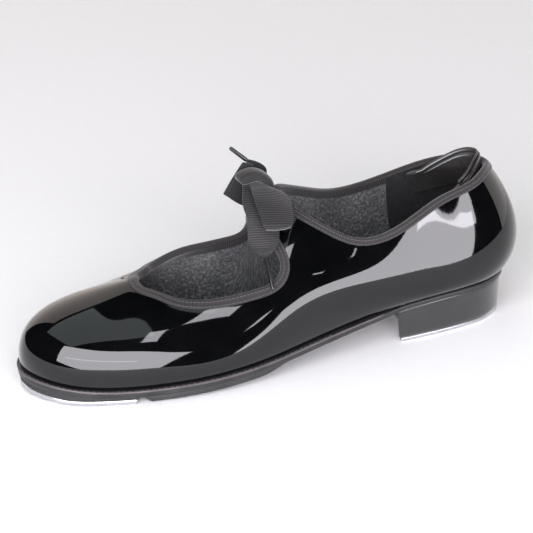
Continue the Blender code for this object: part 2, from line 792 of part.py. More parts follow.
def build_toe_tap(looks):
    first, end, outer_x, inner_x = plan(1.3)

    def low(s):
        return 1.3 * float(ease((15.0 - s) / 15.0))

    def high(s):
        return low(s) + TAP_THICK

    stations = np.append(toe_dense(first, TAP_REAR - 1.2, 17), [TAP_REAR - 0.4, TAP_REAR])

    def narrow(side):
        return lambda s: side(s) - np.sign(side(s)) * max(0.0, s - TAP_REAR + 1.2) ** 2 * 1.2

    tap = plate("toe_tap", stations, slab(narrow(outer_x), narrow(inner_x), low, high, 0.8, 5), looks["tap"])

    def board_low(s):
        return high(s) + GAP

    def board_high(s):
        return sole_bottom(s) - GAP

    first, end, outer_x, inner_x = plan(0.6)
    stations = toe_dense(first, TAP_REAR - 0.3, 18)
    board = plate("toe_tap_board", stations, slab(outer_x, inner_x, board_low, board_high, 0.2, 5), looks["tap_board"])
    return tap, board


def build_half_sole(looks):
    first, end, outer_x, inner_x = plan(0.9)

    def low(s):
        depth = 3.3 * float(ease((PAD_REAR + 1 - s) / 20.0)) * float(ease((s - PAD_FRONT + 2.5) / 3.5))
        return max(sole_bottom(s) - GAP - max(depth, 0.45), 0.6)

    def high(s):
        return sole_bottom(s) - GAP

    stations = np.concatenate([[PAD_FRONT, PAD_FRONT + 1.0], np.linspace(PAD_FRONT + 2.5, PAD_REAR, 22)])
    return plate("half_sole_pad", stations, slab(outer_x, inner_x, low, high, 0.8, 5), looks["rubber"])


def heel_plan(inset):
    first, end, outer_x, inner_x = plan(inset)
    return end, outer_x, inner_x


def heel_block_point(s, share, side):
    """x of the heel block wall at a share of its height, 0 at the tap and 1 at the seat."""
    return side(s) * (0.86 + 0.09 * share)


def build_heel(looks):
    first, end, outer_x, inner_x = plan(0.2)
    levels = [0.0, 0.06, 0.35, 0.7, 0.94, 1.0]
    rows = []
    stations = heel_dense(0.0, 1.0, 19)
    for station in stations:
        ring = []
        for level in levels:
            ring.append(heel_wall(station, level, outer_x, 1))
        for level in levels[::-1]:
            ring.append(heel_wall(station, level, inner_x, -1))
        rows.append(ring)
    block = shell("heel_block", rows, looks["heel"], closed=False, smooth=30)
    cut(block, breast_cutter("heel_breast", 0.0))
    tap_outer, tap_inner = heel_sides(0.4)

    def low(s):
        return 0.0

    def high(s):
        return HEEL_TAP_THICK

    stations = np.concatenate([[BREAST - 4, BREAST + 2], heel_dense(BREAST + 8, HEEL_REAR - 1.4, 15)])
    tap = plate("heel_tap", stations, slab(tap_outer, tap_inner, low, high, 0.7, 5), looks["tap"])
    cut(tap, breast_cutter("heel_tap_breast", 0.5))
    return block, tap


def breast_cutter(name, more):
    """Upright cylinder that hollows the front face of the heel."""
    bm = bmesh.new()
    frustum(bm, BREAST_CENTRE, BREAST_RADIUS + more, BREAST_RADIUS + more, -2.0, 40.0, 120)
    return cutter_object(name, bm)


def heel_sides(inset):
    first, end, outer_x, inner_x = plan(0.2 + inset)

    def stretch(s):
        return BREAST + (s - BREAST) * (end - BREAST) / (HEEL_REAR - 1.0 - BREAST)

    def outer(s):
        return outer_x(min(stretch(s), end - 0.02)) * 0.84

    def inner(s):
        return inner_x(min(stretch(s), end - 0.02)) * 0.84

    return outer, inner


def heel_wall(station, level, side, sign):
    """Point of the heel block: station runs from the breast to the back, level from the tap up."""
    first, end, _, _ = plan(0.2)
    s_top = BREAST - 8.0 + (end - 0.35 - BREAST + 8.0) * station
    s_low = BREAST - 4.0 + (HEEL_REAR - 1.1 - BREAST + 4.0) * station
    s = s_low + (s_top - s_low) * level
    source = BREAST - 7.0 + (end - 0.02 - BREAST + 7.0) * station
    x = side(source) * (0.85 + 0.115 * level)
    x -= sign * 0.5 * (1 if level in (0.0, 1.0) else 0)
    z_low = HEEL_TAP_THICK + GAP
    z_top = sole_bottom(s) - GAP
    return (x, s, z_low + (z_top - z_low) * level)


def build_insole(looks):
    first, end, outer_x, inner_x = plan(3.0)

    def low(s):
        return sole_top(s) + GAP + UPPER_THICK + GAP

    def high(s):
        return low(s) + INSOLE_THICK

    section = slab(outer_x, inner_x, low, high, 0.3, 5)
    insole = plate("insole_board", toe_to_heel(first, end, 34), section, looks["board"])
    first, end, outer_x, inner_x = plan(4.4)

    def sock_low(s):
        return high(s) + GAP

    def sock_high(s):
        return sock_low(s) + SOCK_THICK

    section = slab(outer_x, inner_x, sock_low, sock_high, 0.6, 5)
    plate("sock_lining", toe_to_heel(first, end, 34), section, looks["sock"])
    return insole


def build_filler_and_shank(looks):
    first, end, outer_x, inner_x = plan(12.5)

    def low(s):
        return sole_top(s) + GAP

    def high(s):
        return low(s) + UPPER_THICK - 0.2

    stations = toe_dense(first + 3.5, 118.0, 16)
    plate("bottom_filler", stations, slab(outer_x, inner_x, low, high, 0.25, 4), looks["filler"])

    def half(s):
        return 6.5 - 2.2 * float(ease((s - 130) / 40)) * float(ease((225 - s) / 30))

    def left(s):
        return 2.0 + half(s)

    def right(s):
        return 2.0 - half(s)

    section = slab(left, right, low, high, 0.25, 4)
    return plate("shank", np.linspace(122.0, 214.0, 18), section, looks["shank"])


# ---------------------------------------------------------------- fasteners
TOE_SCREWS = [(-2.5, 9.0), (17.0, 35.0), (-19.5, 35.0)]
HEEL_TAP_SCREWS = [(1.0, 241.0), (13.0, 201.5), (-11.0, 206.0)]
HEEL_SCREW = (1.5, 219.0)
HEEL_NAILS = [(11.5, 211.0), (-9.0, 213.0), (7.0, 229.0), (-5.0, 229.0)]
HEAD_RADIUS = 3.1
SHANK_RADIUS = 1.25


def tap_screw(name, place, face, tip, looks):
    """Countersunk screw driven up from the face of a tap."""
    bm = bmesh.new()
    steps = 12
    radii = [(face + 0.12, HEAD_RADIUS), (face + 1.5, SHANK_RADIUS), (tip - 1.6, SHANK_RADIUS), (tip, 0.35)]
    rings = []
    for z, radius in radii:
        ring = []
        for k in range(steps):
            angle = 2 * math.pi * k / steps
            ring.append((place[0] + radius * math.cos(angle), place[1] + radius * math.sin(angle), z))
        rings.append(ring)
    verts = [[bm.verts.new(p) for p in ring] for ring in rings]
    for low, high in zip(verts, verts[1:]):
        for k in range(steps):
            m = (k + 1) % steps
            bm.faces.new((low[k], low[m], high[m], high[k]))
    bm.faces.new(verts[-1])
    recess_into(bm, verts[0], place, face)
    return add_object(name, bm, looks["steel"], (place[0], place[1], face))


def recess_into(bm, rim, place, face):
    """Slot-like round recess in the screw head."""
    inner = []
    floor = []
    for k in range(len(rim)):
        angle = 2 * math.pi * k / len(rim)
        wide = 1.35 if k % 3 == 0 else 0.62
        x = place[0] + wide * math.cos(angle)
        y = place[1] + wide * math.sin(angle)
        inner.append(bm.verts.new((x, y, face + 0.12)))
        floor.append(bm.verts.new((place[0] + 0.5 * wide * math.cos(angle), place[1] + 0.5 * wide * math.sin(angle), face + 0.95)))
    for k in range(len(rim)):
        m = (k + 1) % len(rim)
        bm.faces.new((rim[k], inner[k], inner[m], rim[m]))
        bm.faces.new((inner[k], floor[k], floor[m], inner[m]))
    bm.faces.new(floor)


def screw_cutter(name, place, face, tip, grow=0.3):
    bm = bmesh.new()
    frustum(bm, place, HEAD_RADIUS + grow + 0.45, SHANK_RADIUS + grow, face - 0.35, face + 1.5 + grow, 16)
    other = bmesh.new()
    frustum(other, place, SHANK_RADIUS + grow, SHANK_RADIUS + grow, face + 1.0, tip + 0.35, 12)
    return cutter_object(name + "_sink", bm), cutter_object(name + "_bore", other)


def driven_pin(name, place, top, tip, head, body, look):
    """Screw or nail driven down through the insole board into the heel."""
    bm = bmesh.new()
    steps = 10
    radii = [(top, head), (top - 1.0, head), (top - 1.0, body), (tip + 2.0, body), (tip, 0.3)]
    verts = []
    for z, radius in radii:
        ring = []
        for k in range(steps):
            angle = 2 * math.pi * k / steps
            ring.append(bm.verts.new((place[0] + radius * math.cos(angle), place[1] + radius * math.sin(angle), z)))
        verts.append(ring)
    for low, high in zip(verts, verts[1:]):
        for k in range(steps):
            m = (k + 1) % steps
            bm.faces.new((low[k], low[m], high[m], high[k]))
    bm.faces.new(verts[0])
    bm.faces.new(verts[-1])
    return add_object(name, bm, look, (place[0], place[1], top))


def pin_cutter(name, place, top, tip, head, body):
    bm = bmesh.new()
    frustum(bm, place, head + GAP, head + GAP, top - 1.0 - GAP, top + 1.0, 12)
    other = bmesh.new()
    frustum(other, place, body + GAP, body + GAP, tip - GAP, top - 0.6, 12)
    return cutter_object(name + "_head_space", bm), cutter_object(name + "_body_space", other)


def build_fasteners(looks, pieces):
    for k, place in enumerate(TOE_SCREWS, 1):
        face = 1.3 * float(ease((15.0 - place[1]) / 15.0))
        tip = sole_bottom(place[1]) + 2.5
        tap_screw(f"toe_tap_screw_{k}", place, face, tip, looks)
        sink, bore = screw_cutter(f"toe_hole_{k}", place, face, tip)
        cut(pieces["toe_tap"], sink)
        cut(pieces["toe_tap"], bore)
        cut(pieces["toe_tap_board"], bore)
        cut(pieces["outsole"], bore)
    for k, place in enumerate(HEEL_TAP_SCREWS, 1):
        tip = 11.5
        tap_screw(f"heel_tap_screw_{k}", place, 0.0, tip, looks)
        sink, bore = screw_cutter(f"heel_hole_{k}", place, 0.0, tip)
        cut(pieces["heel_tap"], sink)
        cut(pieces["heel_tap"], bore)
        cut(pieces["heel_block"], bore)
    pins = [("heel_screw", HEEL_SCREW, 3.2, 1.7, looks["steel"])]
    pins += [(f"heel_nail_{k}", place, 1.9, 0.8, looks["steel"]) for k, place in enumerate(HEEL_NAILS, 1)]
    for name, place, head, body, look in pins:
        top = sole_top(place[1]) + GAP + UPPER_THICK + GAP + INSOLE_THICK - 0.1
        tip = 13.6 if name == "heel_screw" else 15.2
        driven_pin(name, place, top, tip, head, body, look)
        head_space, body_space = pin_cutter(name, place, top, tip, head, body)
        cut(pieces["insole_board"], head_space)
        cut(pieces["insole_board"], body_space)
        cut(pieces["outsole"], body_space)
        cut(pieces["heel_block"], body_space)


# ---------------------------------------------------------------- ribbon tie
def strip(name, centres, across, thick, look):
    """Ribbon of even thickness: centres along it and the half-width vector at each."""
    centres = np.array(centres, float)
    across = np.array(across, float)
    run = np.gradient(centres, axis=0)
    normal = np.cross(run, across)
    normal /= np.linalg.norm(normal, axis=1)[:, None]
    rows = []
    for side in (-1.0, -0.33, 0.33, 1.0):
        rows.append(centres + across * side + normal * thick / 2)
    for side in (1.0, 0.33, -0.33, -1.0):
        rows.append(centres + across * side - normal * thick / 2)
    return shell(name, np.stack(rows, axis=1), look, closed=False)


def smooth_path(points, count):
    points = np.array(points, float)
    t = np.arange(len(points))
    return spline(t, points)(np.linspace(0, len(points) - 1, count))


# Each ribbon: middle of the ribbon and the half-width across it, station by station from the knot out.
NEAR_LOOP = [
    ((4.4, 121.3, 88.1), (0.0, 4.8, -0.6)),
    ((8.7, 124.2, 85.8), (-0.3, 9.2, -2.5)),
    ((15.9, 123.4, 82.4), (-0.4, 9.8, -2.9)),
    ((20.9, 122.8, 77.7), (-0.5, 8.8, -2.1)),
    ((23.1, 122.0, 74.5), (-0.5, 7.5, -1.4)),
    ((19.7, 124.1, 72.6), (-0.9, 7.1, -0.7)),
    ((16.1, 125.5, 78.2), (-1.1, 9.0, -1.5)),
    ((11.2, 125.1, 82.7), (-1.6, 8.8, -1.6)),
    ((7.2, 122.7, 85.0), (-0.8, 5.7, -1.0)),
]
FAR_LOOP = [
    ((-6.4, 123.4, 81.8), (0.2, -3.7, -8.6)),
    ((-6.9, 118.6, 85.5), (0.3, -3.9, -9.5)),
    ((-7.8, 115.0, 87.8), (0.4, -4.8, -8.2)),
    ((-8.8, 113.2, 88.7), (0.5, -5.4, -7.2)),
    ((-11.0, 116.2, 86.3), (0.5, -5.1, -7.6)),
    ((-12.0, 121.5, 82.5), (0.5, -4.5, -8.5)),
    ((-11.0, 125.0, 80.2), (0.4, -4.0, -8.0)),
]
NEAR_TAIL = [
    ((4.5, 117.5, 85.6), (0.1, 5.3, -1.8)),
    ((10.0, 117.3, 81.0), (1.0, 7.2, -1.2)),
    ((14.0, 117.9, 76.2), (1.0, 7.6, -1.3)),
    ((16.9, 117.3, 70.7), (1.9, 7.4, -0.4)),
    ((20.0, 116.2, 64.9), (2.5, 6.3, 0.4)),
    ((19.8, 116.6, 60.2), (0.8, 3.1, 0.0)),
    ((20.0, 117.3, 57.8), (0.2, 0.8, -0.0)),
]
FAR_TAIL = [
    ((-8.7, 127.4, 86.4), (0.3, 3.1, -0.5)),
    ((-9.1, 126.8, 90.6), (0.3, 3.9, -0.1)),
    ((-9.5, 124.0, 94.3), (0.3, 2.5, 0.3)),
    ((-9.6, 120.8, 96.4), (0.1, 0.4, 0.6)),
]
NEAR_TIP = [(20.4, 117.2, 57.5), (27, 115.9, 52.5), (32.2, 115.3, 46.2)]
FAR_TIP = [(-9.7, 120.4, 96.7), (-10.4, 116.4, 100.4), (-11.4, 112.6, 103.9)]
KNOT_ARCH = [(112.0, 91.2), (116.0, 92.1), (121.0, 92.4), (126.0, 89.4), (129.0, 85.2)]  # s, z along the wrap


def build_ribbon(looks):
    look = looks["ribbon"]
    knot = knot_rows(14)
    shell("ribbon_knot", knot, look, closed=False)
    band("ribbon_loop_left", NEAR_LOOP, 17, look)
    band("ribbon_loop_right", FAR_LOOP, 17, look)
    band("ribbon_tail_left", NEAR_TAIL, 15, look)
    band("ribbon_tail_right", FAR_TAIL, 9, look)
    tube("aglet_left", NEAR_TIP, 0.95, looks["plastic"])
    tube("aglet_right", FAR_TIP, 0.95, looks["plastic"])
    build_strap(look)


def band(name, places, count, look):
    centres = smooth_path([centre for centre, _ in places], count)
    across = smooth_path([half for _, half in places], count)
    strip(name, centres, across, RIBBON_THICK, look)


def build_strap(look):
    """The gathered ribbon under the knot, straight down through both tab eyelets."""
    legs = []
    for side in ("left", "right"):
        middle, normal = tab_hole_frame(TAB_HOLES[side])
        legs.append([middle + normal * rise for rise in (-5.4, -2.0, 1.0, 2.4)])
    start, end = legs[0][-1], legs[1][-1]
    first = start + (start - legs[0][0]) * STRAP_OUT + STRAP_UP
    second = end + (end - legs[1][0]) * STRAP_OUT + STRAP_UP
    arch = []
    for share in np.linspace(0, 1, 12)[1:-1]:
        rest = 1 - share
        near = start * rest ** 3 + 3 * first * rest * rest * share
        arch.append(near + 3 * second * rest * share * share + end * share ** 3)
    sweep("ribbon_strap", np.array(legs[0] + arch + legs[1][::-1]), 1.15, look, 7)


def knot_rows(count):
    """Arched wrap over the middle of the bow: rings from its outer to its inner side."""
    line = smooth_path(KNOT_ARCH, count // 2)
    run = np.gradient(line, axis=0)
    run /= np.linalg.norm(run, axis=1)[:, None]
    up = np.stack([-run[:, 1], run[:, 0]], 1)
    share = np.linspace(-1, 1, len(line))
    rows = []
    for x, size in [(3.4, 0.62), (2.7, 0.88), (1.0, 1.0), (-1.5, 1.04), (-3.6, 1.0), (-4.8, 0.88), (-5.4, 0.62)]:
        middle = line.mean(axis=0)
        spread = middle + (line - middle) * (0.86 + 0.14 * size)
        half = 2.5 * size * np.sqrt(np.clip(1.06 - share**4, 0, None))[:, None]
        ring = np.concatenate([spread + up * half, (spread - up * half)[::-1]])
        rows.append([(x, s, z) for s, z in ring])
    return rows


def tube(name, path, radius, look, count=5, sides=8):
    return sweep(name, smooth_path(path, count), radius, look, sides)


def sweep(name, path, radius, look, sides):
    """Round cord along a path."""
    run = np.gradient(path, axis=0)
    run /= np.linalg.norm(run, axis=1)[:, None]
    side = np.cross(run, (0.31, 0.11, 0.94))
    side /= np.linalg.norm(side, axis=1)[:, None]
    up = np.cross(side, run)
    rows = []
    for k in range(sides):
        angle = 2 * math.pi * k / sides
        rows.append(path + radius * (side * math.cos(angle) + up * math.sin(angle)))
    return shell(name, np.stack(rows, axis=1), look, closed=False)


# ---------------------------------------------------------------- assembly
def main():
    clear_scene()
    looks = colours()
    pieces = {"upper": build_upper(looks), "vamp_lining": build_linings(looks)}
    build_tab_eyelets(looks, pieces)
    build_stiffeners(looks)
    build_binding(looks)
    build_collar(looks)
    pieces["outsole"] = build_outsole(looks)
    pieces["toe_tap"], pieces["toe_tap_board"] = build_toe_tap(looks)
    build_half_sole(looks)
    pieces["heel_block"], pieces["heel_tap"] = build_heel(looks)
    pieces["insole_board"] = build_insole(looks)
    build_filler_and_shank(looks)
    build_fasteners(looks, pieces)
    build_ribbon(looks)


main()
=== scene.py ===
import math

import bpy
import numpy as np
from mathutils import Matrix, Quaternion, Vector


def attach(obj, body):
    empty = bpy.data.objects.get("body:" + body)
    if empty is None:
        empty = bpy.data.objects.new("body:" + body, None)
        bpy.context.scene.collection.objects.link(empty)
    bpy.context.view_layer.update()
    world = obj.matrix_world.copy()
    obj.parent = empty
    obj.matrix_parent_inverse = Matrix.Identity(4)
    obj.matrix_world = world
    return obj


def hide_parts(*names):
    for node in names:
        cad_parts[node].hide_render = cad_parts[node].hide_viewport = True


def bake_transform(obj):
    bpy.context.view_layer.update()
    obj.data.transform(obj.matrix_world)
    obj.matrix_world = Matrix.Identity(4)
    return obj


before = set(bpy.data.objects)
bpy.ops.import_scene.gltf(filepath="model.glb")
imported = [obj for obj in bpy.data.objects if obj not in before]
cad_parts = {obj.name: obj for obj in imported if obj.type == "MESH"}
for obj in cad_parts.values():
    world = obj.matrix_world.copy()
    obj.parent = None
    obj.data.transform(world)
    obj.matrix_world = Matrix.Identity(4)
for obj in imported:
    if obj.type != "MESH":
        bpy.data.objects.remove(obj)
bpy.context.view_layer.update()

MM = 0.001
CENTRE_X = 0.9  # work-frame point that lies at the origin of the world
CENTRE_S = 129.75
NUDGE = 1e-4  # small step in u, w or t, for slopes
GAP = 0.3  # clearance between the CAD layers
UPPER_THICK = 1.2
LINING_THICK = 0.7
OUTSOLE_THICK = 3.4
OUTSOLE_HEEL_THICK = 2.4
TAP_THICK = 2.8
HEEL_TAP_THICK = 2.4
PAD_FRONT = 49.0  # rubber half sole, along s
PAD_REAR = 127.0
TAP_REAR = 45.0  # rear edge of the toe tap
BREAST = 189.0  # front face of the heel block at its outer corner
BREAST_CENTRE = (-8.6, 144.6)  # the hollow of that face, round about this point
BREAST_RADIUS = 53.2
HEEL_REAR = 251.9
HEEL_NARROW = 0.86  # width of the heel at its tap, as a share of the sole above
INSOLE_THICK = 1.6
SOCK_THICK = 1.5
LINING_JOIN_OUTER = 0.4405  # where the heel lining meets the vamp lining, along the topline
LINING_JOIN_INNER = 0.6155
COLLAR_RISE = 9.4  # padded collar above the back topline
COLLAR_BACK = 0.522  # its highest place along the topline
COLLAR_ENDS = (0.448, 0.604)
PIPING_ENDS = (0.459, 0.593)
PIPING_RADIUS = 0.95
LINING_GAP = 0.12  # between the upper and the front lining
EDGE_STACK = UPPER_THICK + LINING_GAP + LINING_THICK  # what the binding wraps
RIBBON_THICK = 0.42
KNOT_HALF = 2.5  # half height of the wrap of the knot
EDGE_STITCH = (1.9, 1.25, 0.17)  # pitch, length and radius of the stitches
COLLAR_STITCH = (2.2, 1.4, 0.17)
WELT_STITCH = (2.9, 1.7, 0.24)
WAIST = 150  # s where the welt stitches end and the outsole starts to thin

# Edges of the bottom parts, beyond the feather line (out) or within it (inset).
SOLE_OUT = 0.9
RIM_OUT = 1.05
STITCH_OUT = 0.55
TAP_INSET = 0.3
TAP_BOARD_INSET = 0.1
PAD_INSET = 0.6
HEEL_INSET = 0.2
HEEL_TAP_INSET = 0.2  # further in than the heel block
BOARD_INSET = 3.0
SOCK_INSET = 3.2
FILLER_INSET = 12.5

# Feather line seen from above, x and s: toe first, then the outer side, the heel and the inner side.
OUTLINE = [
    (-4.0, 0.0),
    (10.5, 4.2),
    (21.5, 14.5),
    (29.0, 31.0),
    (35.0, 53.0),
    (38.8, 82.0),
    (37.6, 110.0),
    (32.2, 143.0),
    (29.2, 170.0),
    (28.0, 198.0),
    (25.8, 221.5),
    (18.6, 241.4),
    (0.5, 251.9),
    (-17.2, 241.4),
    (-24.4, 221.5),
    (-26.4, 198.0),
    (-24.0, 170.0),
    (-24.0, 143.0),
    (-30.0, 110.0),
    (-36.0, 80.0),
    (-37.0, 53.0),
    (-33.0, 28.0),
    (-25.5, 11.5),
    (-15.5, 3.0),
]
HEEL_POINT = 12  # index of the rearmost point above

# Height of the feather line (top of the outsole) along s.
FLOOR_S = [0, 14, 32, 55, 80, 104, 128, 155, 182, 200, 225, 252]
FLOOR_Z = [11.0, 9.3, 7.9, 7.9, 8.8, 10.6, 13.4, 17.2, 20.9, 22.3, 22.8, 22.6]

# Crest of the last: s, then x and z.
CREST_S = [60, 80, 105, 130, 160, 190, 220]
CREST_XZ = [(-5, 46.0), (-5.5, 53.5), (-5.5, 65), (-4.5, 79), (-3, 96), (-1, 106), (0, 110)]

# Section of the last: u, bulge out, height of it, shoulder in, its height, crest handle length, its drop.
SECTION = [
    (0.000, 3.0, 15.0, 4.0, 31.0, 40.0, 5.5),
    (0.060, 3.2, 15.0, 5.5, 28.5, 36.0, 7.0),
    (0.130, 3.4, 15.0, 7.0, 28.0, 27.0, 6.0),
    (0.200, 3.6, 15.0, 7.0, 30.0, 21.0, 3.0),
    (0.260, 4.3, 24.5, -2.4, 33.3, 18.2, 7.2),
    (0.320, 7.6, 20.8, -3.1, 30.9, 17.8, 23.3),
    (0.380, 9.3, 10.0, 2.8, 24.0, 24.3, 21.6),
    (0.440, 9.2, 10.3, -2.0, 25.3, 20.0, 27.4),
    (0.500, 14.0, 12.0, -12.0, 30.0, 38.0, 30.0),
    (0.560, 8.0, 12.0, -5.0, 29.0, 23.0, 27.0),
    (0.620, 7.0, 12.0, -4.5, 29.0, 28.0, 22.0),
    (0.680, 7.0, 13.0, -3.5, 30.0, 24.0, 14.0),
    (0.740, 4.5, 14.0, 0.0, 30.0, 19.0, 3.0),
    (0.800, 3.6, 15.0, 6.5, 29.5, 23.0, 4.0),
    (0.870, 3.2, 15.0, 8.5, 27.0, 28.0, 7.5),
    (0.940, 3.0, 15.0, 6.5, 28.0, 35.0, 8.0),
]

# Topline on the last: x, s, z near it, and the u of the feather point below it.
TOPLINE = [
    (-5.0, 60.0, 46.5, 0.000),
    (4.0, 60.2, 47.0, 0.045),
    (8.9, 64.5, 45.2, 0.090),
    (15.4, 69.9, 43.8, 0.126),
    (20.3, 77.7, 42.7, 0.155),
    (23.8, 88.0, 42.7, 0.182),
    (26.3, 99.5, 43.9, 0.207),
    (28.3, 110.6, 45.9, 0.230),
    (28.6, 117.8, 48.1, 0.247),
    (26.3, 122.8, 52.6, 0.258),
    (21.7, 124.3, 58.1, 0.265),
    (15.1, 123.2, 63.8, 0.273),
    (8.1, 123.5, 69.0, 0.281),
    (2.9, 125.1, 72.8, 0.287),
    (1.9, 129.4, 75.4, 0.292),
    (4.7, 134.6, 75.8, 0.297),
    (10.3, 140.3, 72.9, 0.302),
    (15.8, 147.0, 68.7, 0.309),
    (20.6, 155.1, 63.7, 0.318),
    (23.9, 165.4, 59.7, 0.332),
    (24.7, 175.9, 59.5, 0.350),
    (24.0, 187.7, 62.5, 0.373),
    (22.1, 199.4, 67.0, 0.396),
    (19.4, 211.2, 70.8, 0.418),
    (17.0, 222.5, 72.7, 0.441),
    (14.9, 231.6, 74.7, 0.462),
    (9.5, 239.8, 77.1, 0.482),
    (-1.0, 246.5, 77.6, 0.502),
    (-9.0, 241.0, 76.6, 0.522),
    (-14.5, 232.0, 75.4, 0.541),
    (-19.0, 221.0, 73.6, 0.562),
    (-22.6, 209.0, 69.0, 0.585),
    (-25.0, 196.0, 64.6, 0.610),
    (-25.6, 183.0, 63.2, 0.634),
    (-24.4, 170.5, 64.8, 0.657),
    (-21.6, 159.0, 69.0, 0.676),
    (-17.8, 149.0, 73.2, 0.690),
    (-14.0, 141.0, 77.0, 0.700),
    (-10.5, 135.0, 79.0, 0.707),
    (-8.4, 129.0, 78.6, 0.713),
    (-9.2, 124.4, 75.4, 0.719),
    (-12.8, 123.4, 70.5, 0.726),
    (-17.4, 125.6, 64.0, 0.734),
    (-21.4, 127.0, 57.5, 0.742),
    (-24.2, 125.0, 52.0, 0.750),
    (-25.4, 115.0, 49.6, 0.766),
    (-24.6, 103.0, 49.0, 0.789),
    (-22.6, 91.0, 49.0, 0.813),
    (-19.6, 79.0, 49.0, 0.842),
    (-15.6, 70.2, 48.4, 0.880),
    (-10.8, 63.2, 47.4, 0.935),
]


# ---------------------------------------------------------------- smooth curves
def spline(knots, values, period=None):
    """C2 cubic spline through the knots, natural at its ends or repeating with a period."""
    t = np.asarray(knots, float)
    y = np.asarray(values, float)
    if y.ndim == 1:
        y = y[:, None]
    n = len(t)
    matrix = np.zeros((n, n))
    right = np.zeros_like(y)
    if period is None:
        matrix[0, 0] = 1.0
        matrix[-1, -1] = 1.0
        for i in range(1, n - 1):
            before = t[i] - t[i - 1]
            after = t[i + 1] - t[i]
            matrix[i, i - 1 : i + 2] = (before, 2 * (before + after), after)
            right[i] = 6 * ((y[i + 1] - y[i]) / after - (y[i] - y[i - 1]) / before)
        bend = np.linalg.solve(matrix, right)
    else:
        t = np.append(t, t[0] + period)
        y = np.vstack([y, y[:1]])
        for i in range(n):
            k = i - 1 if i else n - 1
            before = t[k + 1] - t[k]
            after = t[i + 1] - t[i]
            matrix[i, k] += before
            matrix[i, i] += 2 * (before + after)
            matrix[i, (i + 1) % n] += after
            right[i] = 6 * ((y[i + 1] - y[i]) / after - (y[k + 1] - y[k]) / before)
        bend = np.linalg.solve(matrix, right)
        bend = np.vstack([bend, bend[:1]])

    def at(x):
        x = np.atleast_1d(np.asarray(x, float))
        if period is not None:
            x = (x - t[0]) % period + t[0]
        i = np.clip(np.searchsorted(t, x, side="right") - 1, 0, len(t) - 2)
        step = (t[i + 1] - t[i])[:, None]
        a = (t[i + 1] - x)[:, None] / step
        b = (x - t[i])[:, None] / step
        cubic = (a**3 - a) * bend[i] + (b**3 - b) * bend[i + 1]
        return a * y[i] + b * y[i + 1] + cubic * step**2 / 6

    return at


def rounded_max(a, b, radius):
    """The larger of two values, with a smooth change from one to the other."""
    return 0.5 * (a + b + np.sqrt((a - b) ** 2 + radius**2))


def rounded_min(a, b, radius):
    """The smaller of two values, with a smooth change from one to the other."""
    return 0.5 * (a + b - np.sqrt((a - b) ** 2 + radius**2))


def ease(x):
    """Smooth step from 0 at x = 0 to 1 at x = 1."""
    x = np.clip(x, 0.0, 1.0)
    return x * x * (3 - 2 * x)


def unit(vectors):
    """The vectors along the last axis, each scaled to length 1."""
    return vectors / np.linalg.norm(vectors, axis=-1, keepdims=True)


def lengths(rows, axis=0):
    """Running length along an axis of a line or grid of points, starting at 0."""
    step = np.linalg.norm(np.diff(rows, axis=axis), axis=-1)
    shape = list(step.shape)
    shape[axis] = 1
    return np.concatenate([np.zeros(shape), np.cumsum(step, axis=axis)], axis=axis)


# ---------------------------------------------------------------- the last
def outline_curve():
    """Smooth curve through OUTLINE by its length, the length at the heel and the full length."""
    points = np.array(OUTLINE, float)
    run = lengths(np.vstack([points, points[:1]]))
    return spline(run[:-1], points, run[-1]), run[HEEL_POINT], run[-1]


OUTLINE_AT, HEEL_RUN, FULL_RUN = outline_curve()
FLOOR_AT = spline(FLOOR_S, FLOOR_Z)
CREST_AT = spline(CREST_S, CREST_XZ)
SECTION_AT = spline([row[0] for row in SECTION], [row[1:] for row in SECTION], 1.0)


def outline(u):
    """Feather line, u = 0 at the toe, 0.5 at the heel, 1 at the toe again by the inner side."""
    u = np.atleast_1d(u) % 1.0
    front = u / 0.5 * HEEL_RUN
    back = HEEL_RUN + (u - 0.5) / 0.5 * (FULL_RUN - HEEL_RUN)
    return OUTLINE_AT(np.where(u < 0.5, front, back))


def floor_z(s):
    """Height of the feather line at s."""
    return FLOOR_AT(np.clip(s, 0, 252))[:, 0]


def last(u, w, out=0.0):
    """Point of the last at u round the shoe and w up the section, moved out along its normal by out."""
    u, w, out = np.broadcast_arrays(np.asarray(u, float), np.asarray(w, float), np.asarray(out, float))
    point = last_surface(u, w)
    if not np.any(out):
        return point
    along = last_surface(u + NUDGE, w) - last_surface(u - NUDGE, w)
    up = last_surface(u, w + NUDGE) - last_surface(u, w - NUDGE)
    return point + unit(np.cross(along, up)) * out[..., None]


def last_surface(u, w):
    """Bezier section through five levels, from the feather line up to the crest of the last."""
    shape = u.shape
    u = u.ravel()
    w = w.ravel()
    foot = outline(u)
    s = rounded_min(rounded_max(foot[:, 1], 66.0, 14.0), 214.0, 14.0)
    crest = CREST_AT(s)
    inward = np.stack([crest[:, 0], s], 1) - foot
    reach = np.linalg.norm(inward, axis=1)
    inward /= reach[:, None]
    top = crest[:, 1]
    bottom = floor_z(foot[:, 1])
    bulge, bulge_up, shoulder, shoulder_up, handle, drop = SECTION_AT(u % 1.0).T
    levels = [
        (0 * reach, bottom),
        (-bulge, bottom + bulge_up),
        (shoulder, bottom + shoulder_up),
        (reach - handle, top - drop),
        (reach, top),
    ]
    v = 1 - w
    weights = [v**4, 4 * w * v**3, 6 * w**2 * v**2, 4 * w**3 * v, w**4]
    n = sum(a * level[0] for a, level in zip(weights, levels))
    z = sum(a * level[1] for a, level in zip(weights, levels))
    # The upper turns under at the feather line.
    n = n + 1.6 * np.exp(-np.clip(z - bottom, 0, None) / 1.3)
    point = np.concatenate([foot + inward * n[:, None], z[:, None]], 1)
    return point.reshape(shape + (3,))


